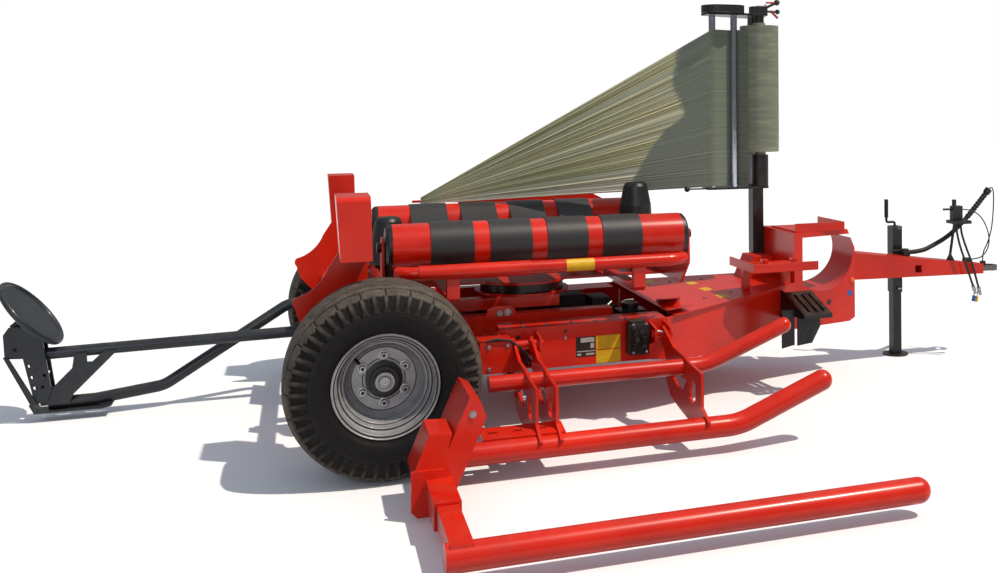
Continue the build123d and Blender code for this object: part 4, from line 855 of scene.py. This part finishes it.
class WRAPPER_OT_film(bpy.types.Operator):
    """The film from its roll round both stretch rollers to the table's far corner, gathered on its way"""

    bl_idname = "wrapper.film"
    bl_label = "Film web"

    def execute(self, context):
        rows = context.scene.wrapper_film.rows
        turn = math.atan2(TABLE_END[1] - NEAR_ROLLER[1], TABLE_END[0] - NEAR_ROLLER[0])
        reach = 21.6
        start = (NEAR_ROLLER[0] - math.sin(turn) * reach, NEAR_ROLLER[1] + math.cos(turn) * reach, WEB_Z)
        ends = ((*TABLE_END, 38), (*start, WEB_HIGH))
        plan = []
        for (x, y), first, last in ((NEAR_ROLLER, 250.4, 288.2), (FAR_ROLLER, 108.2, 32.4)):
            for i in range(7):
                angle = math.radians(first + (last - first) * i / 6)
                plan.append((x + reach * math.cos(angle), y + reach * math.sin(angle)))
        plan.append((2155.2, -2.7))
        wrap = []
        for (x0, y0), (x1, y1) in zip(plan, plan[1:]):
            parts = 3 if math.dist((x0, y0), (x1, y1)) > 30 else 1
            wrap += [(x0 + (x1 - x0) * i / parts, y0 + (y1 - y0) * i / parts) for i in range(1, parts + 1)]

        for name, low, high, steps, bodies, flat in (
            ("film_table_side", 0.0, 0.5, 46, ("tipping_frame", "turntable"), (0.6, 0.9)),
            ("film_mast_side", 0.5, 1.0, 54, ("frame", "tipping_frame"), (0.93, 1.26)),
        ):
            work = bmesh.new()
            pleat = work.verts.layers.float.new("pleat")
            pleated_and_lit = work.verts.layers.float.new("pleated_and_lit")
            columns = [
                [film_point(low + (high - low) * i / steps, j / rows, ends) for j in range(rows + 1)]
                for i in range(steps + 1)
            ]
            if name == "film_mast_side":
                levels = [WEB_Z + WEB_HIGH * (j / rows - 0.5) for j in range(rows + 1)]
                columns += [[((x, y, z), 0.0) for z in levels] for x, y in wrap]
            grid = []
            for column in columns:
                grid.append([work.verts.new(at(*place)) for place, _ in column])
                for j, (vert, (_, share)) in enumerate(zip(grid[-1], column)):
                    vert[pleat], vert[pleated_and_lit] = j / rows, share
            for a, b in zip(grid, grid[1:]):
                for j in range(rows):
                    work.faces.new((a[j], b[j], b[j + 1], a[j + 1]))
            work.normal_update()
            area = sum(f.calc_area() for f in work.faces)
            bmesh.ops.solidify(work, geom=work.faces[:], thickness=0.0006)
            mesh = from_bmesh(name, work)
            mesh.materials.append(skin("film"))
            smooth_by_angle(mesh, 70)
            sheet = in_scene(name, mesh)
            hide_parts("film_web")
            middle = at(*film_point(0.5, 0.5, ends)[0])
            if name == "film_table_side":
                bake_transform(sheet)
            else:
                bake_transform(sheet)
            area = min(area, flat[0] * flat[1])
        return {"FINISHED"}


class WrapperFilm(bpy.types.PropertyGroup):
    """Fineness of the film."""

    rows: bpy.props.IntProperty(name="Rows", description="Rows of faces up the film", min=10, default=300)


# Fine shapes

# Bolt heads by body: place in mm, direction of the head, and half its width in mm.
BOLTS = {
    "frame": (
        ((949, -553, 500), UP, 8), ((1075, -553, 500), UP, 8), ((1230, -553, 500), UP, 8),
        ((1390, -553, 500), UP, 8), ((820, -553, 500), UP, 8), ((700, -553, 500), UP, 8),
        ((620, -348, 532), RIGHT, 12), ((659, -348, 535), RIGHT, 15), ((500, -743, 448), RIGHT, 7),
        ((590, -743, 452), RIGHT, 7), ((500, -743, 345), RIGHT, 7), ((1620, -260, 519), UP, 7),
        ((1620, 260, 519), UP, 7), ((1760, -300, 528), UP, 7), ((1760, 300, 528), UP, 7),
        ((1940, -240, 540), UP, 7), ((1940, 240, 540), UP, 7), ((1232, -690, 494), RIGHT, 5),
        ((1300, -690, 494), RIGHT, 5), ((1232, -690, 352), RIGHT, 5), ((1300, -690, 352), RIGHT, 5),
        ((904, -600, 434), RIGHT, 6),
    ),
    "loader": (((295.5, -1620, 388), RIGHT, 11),),
}


def bolt_nodes():
    """Geometry Nodes that stand a hexagon head with its washer on every point."""
    tree = bpy.data.node_groups.new("bolt_heads", "GeometryNodeTree")
    tree.interface.new_socket("Geometry", in_out="OUTPUT", socket_type="NodeSocketGeometry")
    kinds = {"Geometry": "Geometry", "Size": "Float", "Seed": "Int", "Material": "Material"}
    for name, kind in kinds.items():
        tree.interface.new_socket(name, in_out="INPUT", socket_type="NodeSocket" + kind)
    given = add(tree, "NodeGroupInput").outputs
    parts = add(tree, "GeometryNodeJoinGeometry")
    for sides, radius, tall, low in ((6, 1.0, 0.75, 0.12), (20, 1.3, 0.14, 0.0)):
        can = add(tree, "GeometryNodeMeshCylinder", Vertices=sides, Radius=radius, Depth=tall)
        place = (0, 0, low + tall / 2)
        lift = add(tree, "GeometryNodeTransform", Geometry=can.outputs["Mesh"], Translation=place)
        tree.links.new(lift.outputs[0], parts.inputs[0])
    named = []
    for kind, name in (("FLOAT_VECTOR", "facing"), ("FLOAT", "size")):
        read = add(tree, "GeometryNodeInputNamedAttribute", {"data_type": kind}, Name=name)
        named.append(next(socket for socket in read.outputs if socket.name == "Attribute" and socket.enabled))
    facing, size = named
    chance = add(tree, "FunctionNodeRandomValue", {"data_type": "FLOAT"}, i3=math.tau, Seed=given["Seed"])
    about = add(tree, "ShaderNodeCombineXYZ", Z=chance.outputs[1])
    spun = add(tree, "FunctionNodeEulerToRotation", Euler=about.outputs[0])
    turn = add(tree, "FunctionNodeAlignRotationToVector", {"axis": "Z"}, Vector=facing)
    feed(tree, turn, Rotation=spun.outputs[0])
    stand = add(
        tree, "GeometryNodeInstanceOnPoints", Points=given["Geometry"], Instance=parts.outputs[0],
        Rotation=turn.outputs[0], Scale=maths(tree, "MULTIPLY", size, given["Size"]),
    )
    real = add(tree, "GeometryNodeRealizeInstances", Geometry=stand.outputs[0])
    dress = add(tree, "GeometryNodeSetMaterial", Geometry=real.outputs[0], Material=given["Material"])
    add(tree, "NodeGroupOutput", Geometry=dress.outputs[0])
    return tree


class WRAPPER_OT_bolts(bpy.types.Operator):
    """Hexagon bolt heads with washers, stood on their points by Geometry Nodes"""

    bl_idname = "wrapper.bolts"
    bl_label = "Bolts"

    def execute(self, context):
        settings = context.scene.wrapper_bolts
        tree = bolt_nodes()
        keys = {item.name: item.identifier for item in tree.interface.items_tree if item.in_out == "INPUT"}
        for body, bolts in BOLTS.items():
            mesh = bpy.data.meshes.new("bolt_points_" + body)
            mesh.from_pydata([at(*place) for place, _, _ in bolts], [], [])
            # Each attribute is filled before the next is made, because making one moves the others.
            ways = [part for _, way, _ in bolts for part in way]
            mesh.attributes.new("facing", "FLOAT_VECTOR", "POINT").data.foreach_set("vector", ways)
            halves = [half / 1000 for _, _, half in bolts]
            mesh.attributes.new("size", "FLOAT", "POINT").data.foreach_set("value", halves)
            points = in_scene("bolt_points_" + body, mesh)
            stack = points.modifiers.new("bolts", "NODES")
            stack.node_group = tree
            stack[keys["Size"]] = settings.size
            stack[keys["Seed"]] = settings.seed
            stack[keys["Material"]] = skin("zinc")
            context.view_layer.update()
            real = bpy.data.meshes.new_from_object(points.evaluated_get(context.evaluated_depsgraph_get()))
            real.name = "bolts_" + body
            bpy.data.objects.remove(points)
            piece("bolts_" + body, real, "zinc", body)
        return {"FINISHED"}


class WrapperBolts(bpy.types.PropertyGroup):
    """Size and spin of the bolt heads."""

    size: bpy.props.FloatProperty(name="Size", description="Share of each head's size", min=0.1, default=1)
    seed: bpy.props.IntProperty(name="Seed", description="Seed of the heads' random spin", default=4)


# Rim in mm: rolled lips (out, radius, thickness), painted shade lines in the rim's steps (out, low, high), the
# cap's and nuts' profiles.
RIM_LIPS = (
    (198, 221, 3.6), (198, 206, 2.2), (152, 188, 2.6), (122, 175, 2.4), (67, 159, 2.4), (48, 141, 2.0),
)
RIM_SHADE_LINES = ((198.5, 208.6, 214), (152.5, 191, 196), (122.5, 178, 181.5), (48.5, 134, 139), (48.5, 87, 92))
CAP = (
    (84, 43), (112, 43), (116, 40), (116, 33), (113, 31), (113, 27), (117, 25), (119, 22), (119, 15),
    (117, 13), (117, 0),
)
NUT_WASHER = ((48, 17), (48, 23), (53, 23), (54, 20), (54, 15))
STUDS, STUD_CIRCLE, VALVE_ANGLE = 6, 102.5, 140


class WRAPPER_OT_wheels(bpy.types.Operator):
    """Rolled lips and painted shade lines in the rims' steps, socket nuts on washers, the cap's rings and the
    valve
    """

    bl_idname = "wrapper.wheels"
    bl_label = "Wheel trim"

    def execute(self, context):
        for side, name in SIDES:
            middle, way = at(0, HALF_TRACK * side, WHEEL), (0, side, 0)
            bright, dark, zinc = bmesh.new(), bmesh.new(), bmesh.new()
            for out, radius, thick in RIM_LIPS:
                turns = [math.pi * k / 8 for k in range(9)]
                lip = [(out + thick * math.sin(t), radius + thick * math.cos(t)) for t in turns]
                lathe(bright, lip, middle, way, 96)
            # These dark rings are painted shade in the rim's steps.
            for out, low, high in RIM_SHADE_LINES:
                lathe(dark, [(out, low), (out, high)], middle, way, 96)
            for stud in range(STUDS):
                angle = math.radians(30 + 360 / STUDS * stud)
                place = middle + Vector((math.cos(angle), 0, math.sin(angle))) * STUD_CIRCLE / 1000
                lathe(zinc, NUT_WASHER, place, way, 24)
                lathe(dark, [(68.4, 0), (68.4, 8)], place, way, 16)
                lathe(dark, [(48.4, 13), (48.4, 17.5)], place, way, 24)
            lathe(zinc, CAP, middle, way, 48)
            lathe(dark, [(84, 62), (92, 60), (92, 44)], middle, way, 48)
            x, z = math.cos(math.radians(VALVE_ANGLE)), math.sin(math.radians(VALVE_ANGLE))
            stem = ((160, 82), (150, 92), (138, 122))
            rod(dark, [(x * far, (HALF_TRACK + out) * side, WHEEL + z * far) for far, out in stem], 6.5)
            shape("rim_lips_" + name, bright, "rim", "wheel_" + name, "rim")
            shape("rim_painted_shade_and_black_parts_" + name, dark, "plastic", "wheel_" + name, "black_plastic")
            shape("rim_nuts_" + name, zinc, "zinc", "wheel_" + name, "hub")
        return {"FINISHED"}


# The way the headstock's slanting right face looks, and the near guard tube's middle in millimetres.
HEAD_FACE = (0.23, -0.97, 0)
GUARD_Y, GUARD_Z = -700, 812
# Pale fields of the blank plate: low x and z, high x and z.
FIELDS = (
    (981, 405, 1052, 428), (1032, 374, 1051, 399), (962, 358, 1056, 363), (963, 340, 984, 350),
    (1008, 340, 1052, 350),
)


class WRAPPER_OT_plates(bpy.types.Operator):
    """Blank plates and patches, black discs as painted shade in the holes of the tray's side, and the marker by
    the headstock
    """

    bl_idname = "wrapper.plates"
    bl_label = "Plates and patches"

    def execute(self, context):
        yellow, grey, pale, black = bmesh.new(), bmesh.new(), bmesh.new(), bmesh.new()
        for low, high in ((364, 432.5), (294.5, 359)):
            on_tray(yellow, 1061, low, 1189, high, 0.6)
        for x, y in ((1660, 400), (1855, 175), (1858, -56), (1863, -301)):
            corners = ((x - 26, y - 48), (x + 26, y - 48), (x + 26, y + 48), (x - 26, y + 48))
            panel(yellow, [(a, b, DECK_Z + DECK_SLOPE * (a - DECK_X)) for a, b in corners], 0.8, UP)
        on_tray(grey, 957, 333, 1058, 434, 0.8)
        for field in FIELDS:
            on_tray(pale, *field, 0.3, 0.8)
        # Black discs painted as the shade seen in holes.
        for x, z, radius in ((904.7, 469.6, 9), (665.5, 455.8, 10), (560, 470, 7)):
            lathe(black, [(0.3, 0), (0.3, radius)], at(x, TRAY_SIDE, z), RIGHT, 24)
        lathe(black, [(0.5, 0), (0.5, 17)], at(2591.9, -175.1, 429.5), HEAD_FACE, 24)
        shape("sign_blanks", yellow, "yellow", "frame")
        shape("plate_blank", grey, "black_paint", "frame")
        shape("plate_fields", pale, "blank_pale", "frame")
        shape("painted_hole_shade", black, "plastic", "frame")

        # A shell of vinyl round the near guard tube, its outer face first, and a patch at the far one.
        work = bmesh.new()
        strip, steps = [], 16
        for radius, order in ((33.0, range(steps + 1)), (32.4, range(steps, -1, -1))):
            for i in order:
                angle = math.radians(8.5 - 62 + 124 * i / steps)
                y, z = GUARD_Y - radius * math.cos(angle), GUARD_Z + radius * math.sin(angle)
                strip.append([work.verts.new(at(x, y, z)) for x in (883, 1023)])
        for a, b in zip(strip, [*strip[1:], strip[0]]):
            work.faces.new((a[0], a[1], b[1], b[0]))
        for end in (0, 1):
            for i in range(steps):
                work.faces.new([strip[k][end] for k in (i, i + 1, 2 * steps - i, 2 * steps + 1 - i)])
        block(work, (351, 697, 1041), (480, 703, 1046))
        shape("guard_patches", work, "yellow", "turntable")

        # A thin block leaned onto the headstock's face.
        work = bmesh.new()
        block(work, (2734, -144, 452), (2768, -140, 482))
        for vert in work.verts:
            off = vert.co.x - at(2752, 0, 0).x
            vert.co.y = at(0, -137.0, 0).y + off * 0.237 + (vert.co.y - at(0, -142, 0).y) * 0.3 - 0.001
        shape("blue_patch", work, "blank_blue", "frame")
        work = bmesh.new()
        lathe(work, [(0, 17), (5, 17), (8, 12), (9, 0)], at(2768.2, -133.2, 542.6), HEAD_FACE, 24)
        shape("side_marker", work, "orange_lens", "frame")
        return {"FINISHED"}


# Plates in millimetres: corners, thickness, and the way they thicken.
TRAY_PLATES = (
    (((458, -740, 322), (633, -740, 322), (622, -740, 470), (606, -740, 480), (458, -740, 480)), 5, LEFT),
    (((616, -740, 470), (633, -740, 322), (633, -600, 322), (616, -600, 470)), 5, (-1, 0, 0)),
    (((458, -740, 478), (612, -740, 478), (612, -600, 478), (458, -600, 478)), 4, DOWN),
    (
        (
            (540, -348, 500), (700, -348, 500), (700, -348, 548), (672, -348, 568), (600, -348, 572),
            (560, -348, 560),
        ),
        8, LEFT,
    ),
    (((1522, -164, 514), (1669, -148, 524), (1560, -430, 560), (1498, -358, 545)), 4, UP),
    (((1461, -453, 510), (1574, -420, 520), (1600, -560, 545), (1450, -590, 530)), 4, UP),
)
# The far guard plate in two parts: corners as x and z.
GUARD_PLATES = (
    ((281, 1026), (281, 1040), (755, 1042), (755, 1016)),
    ((755, 1016), (755, 1040), (1357, 1062), (1545, 968), (1400, 940), (900, 960)),
)
# Route of the loom to the sensor's boot.
SENSOR_LOOM = (
    (492, -746, 478), (540, -746, 486), (602, -746, 474), (650, -738, 436), (676, -720, 402), (691, -704, 380),
)
# Bright rods: radius and route.
PINS = (
    (9, ((1228, -120, 470), (1285, -90, 506))),
    (4, ((1326, -100, 470), (1326, -100, 572))),
    (5, ((1335, -110, 500), (1360, -110, 512), (1405, -110, 512))),
    (7, ((688, -774, 398), (695, -802, 390))),
    (5, ((1345, -700, 456), (1384, -700, 448))),
    (8, ((3225, 111, 426), (3254, 111, 426))),
)
# Short round pieces: name, material, and runs of (start, end, radius).
SMALL_BARS = (
    (
        "latch_grips", "paint",
        (((2302, 60, 2212), (2368, 60, 2214), 6), ((2330, 60, 2163), (2378, 60, 2120), 7)),
    ),
    ("blue_cap", "blank_blue", (((3664, -84, 384), (3655, -84, 348), 11),)),
    ("yellow_cap", "yellow", (((3700, -60, 372), (3692, -60, 338), 11),)),
    (
        "cap_straps", "rubber",
        (((3664, -84, 420), (3660, -84, 366), 2.5), ((3708, -60, 410), (3697, -60, 356), 2.5)),
    ),
)
# Valve and filter bodies between the tray's hoses, dark partly as painted shade of the tray's inside: two
# corners each.
TRAY_VALVES_AND_SHADE_BLOCKS = (
    ((1000, 110, 400), (1190, 300, 520)), ((1220, 80, 390), (1330, 250, 500)),
    ((760, -300, 380), (860, -180, 470)),
)


class WRAPPER_OT_small(bpy.types.Operator):
    """Brackets and hoses of the tray, the far guard plate, latch grips, hose caps and the jack's pins"""

    bl_idname = "wrapper.small"
    bl_label = "Small parts"

    def execute(self, context):
        red = bmesh.new()
        for plate in TRAY_PLATES:
            panel(red, *plate)
        rod(red, [(700, -716, 470), (760, -716, 360)], 7)
        for x in (2070, 2250):
            block(red, (x, -420, 712), (x + 26, -360, 738), 2)
        shape("tray_brackets", red, "paint", "frame")

        far = bmesh.new()
        for corners in GUARD_PLATES:
            panel(far, [(x, -GUARD_Y, z) for x, z in corners], 5, LEFT)
        for x in (320, 780, 1380):
            block(far, (x, 701, 826), (x + 40, 709, 1020))
        shape("far_guard_plate", far, "paint", "turntable")

        # Black hoses and boxes, which also stand as painted shade for the dark inside of the tray.
        dark = bmesh.new()
        chance = random.Random(11)
        for row in range(9):
            y = -250 + 60 * row
            if abs(y) < 100:
                continue
            rear = 570 if y > 0 else 840
            places = []
            for i in range(8):
                x, side, high = rear + (1375 - rear) / 7 * i, chance.uniform(-34, 34), chance.uniform(-26, 26)
                places.append(Vector((x, y + side, 425 + high)))
            rod(dark, [tuple(p) for p in curve_through(places, 5)], 11, 8)
        for low, high in TRAY_VALVES_AND_SHADE_BLOCKS:
            block(dark, low, high, 8)
        rod(dark, SENSOR_LOOM, 6)
        rod(dark, [(672, -736, 414), (682, -756, 404), (688, -774, 398)], 4)
        lathe(dark, [(0, 0), (0, 11), (24, 14), (36, 9), (36, 0)], at(691, -704, 349), UP, 20)
        for x, z in ((1240, 470), (1282, 452), (1255, 410), (1292, 380)):
            lathe(dark, [(0, 13), (9, 13), (11, 9), (11, 0)], at(x, -672, z), RIGHT, 20)
        shape("tray_hoses_and_shade_fill", dark, "rubber", "frame")

        light = bmesh.new()
        for radius, route in PINS:
            rod(light, route, radius)
        for z, radius in ((811, 11), (426, 9)):
            washer = [(0, radius - 4), (0, radius), (4, radius), (4, radius - 4)]
            lathe(light, washer, at(3239, 114, z), RIGHT, 24)
        block(light, (2240, 44, 2150), (2272, 76, 2192), 3)
        rod(light, [(2256, 60, 2170), (2302, 60, 2196)], 7)
        shape("pins_and_rods", light, "zinc", "frame")

        for name, look, runs in SMALL_BARS:
            work = bmesh.new()
            for start, end, radius in runs:
                rod(work, [start, end], radius, 16)
            shape(name, work, look, "frame")
        return {"FINISHED"}


# Carried-over nodes


class WRAPPER_OT_skins(bpy.types.Operator):
    """Gives every carried-over node its material"""

    bl_idname = "wrapper.skins"
    bl_label = "Node materials"

    def execute(self, context):
        names = {node: name for name, group in NODE_SKINS.items() for node in group}
        for node_name, node in shop["frame"]["nodes"].items():
            if node_name not in names:
                raise RuntimeError("no material is named for node " + node_name)
            node.data.materials.clear()
            node.data.materials.append(skin(names[node_name]))
        return {"FINISHED"}


# Panel


class WRAPPER_PT_panel(bpy.types.Panel):
    bl_label = "Wrapper"
    bl_idname = "WRAPPER_PT_panel"
    bl_space_type = "VIEW_3D"
    bl_region_type = "UI"
    bl_category = "Wrapper"

    def draw(self, context):
        for made in OPERATORS:
            self.layout.operator(made.bl_idname)


OPERATORS = (
    WRAPPER_OT_stage, WRAPPER_OT_cords, WRAPPER_OT_skins, WRAPPER_OT_tyres, WRAPPER_OT_wheels,
    WRAPPER_OT_film, WRAPPER_OT_plates, WRAPPER_OT_bolts, WRAPPER_OT_small,
)
GROUPS = (
    (WrapperStage, "wrapper_stage"), (WrapperPaint, "wrapper_paint"), (WrapperTyre, "wrapper_tyre"),
    (WrapperFilm, "wrapper_film"), (WrapperBolts, "wrapper_bolts"),
)


def register():
    for group, name in GROUPS:
        bpy.utils.register_class(group)
        setattr(bpy.types.Scene, name, bpy.props.PointerProperty(type=group))
    for made in (*OPERATORS, WRAPPER_PT_panel):
        bpy.utils.register_class(made)


def unregister():
    for made in (WRAPPER_PT_panel, *reversed(OPERATORS)):
        bpy.utils.unregister_class(made)
    for group, name in GROUPS:
        delattr(bpy.types.Scene, name)
        bpy.utils.unregister_class(group)


def find_axle():
    """The ground point under the axle's centre, from the two tyres."""
    boxes = [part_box("tyre_" + name) for _, name in SIDES]
    low = Vector([min(b[0][i] for b in boxes) for i in range(3)])
    high = Vector([max(b[1][i] for b in boxes) for i in range(3)])
    return Vector(((low.x + high.x) / 2, (low.y + high.y) / 2, 0))


def main():
    shop["frame"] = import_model()
    shop["axle"] = find_axle()
    register()
    for made in OPERATORS:
        group, name = made.bl_idname.split(".")
        getattr(getattr(bpy.ops, group), name)()


if __name__ == "__main__":
    main()
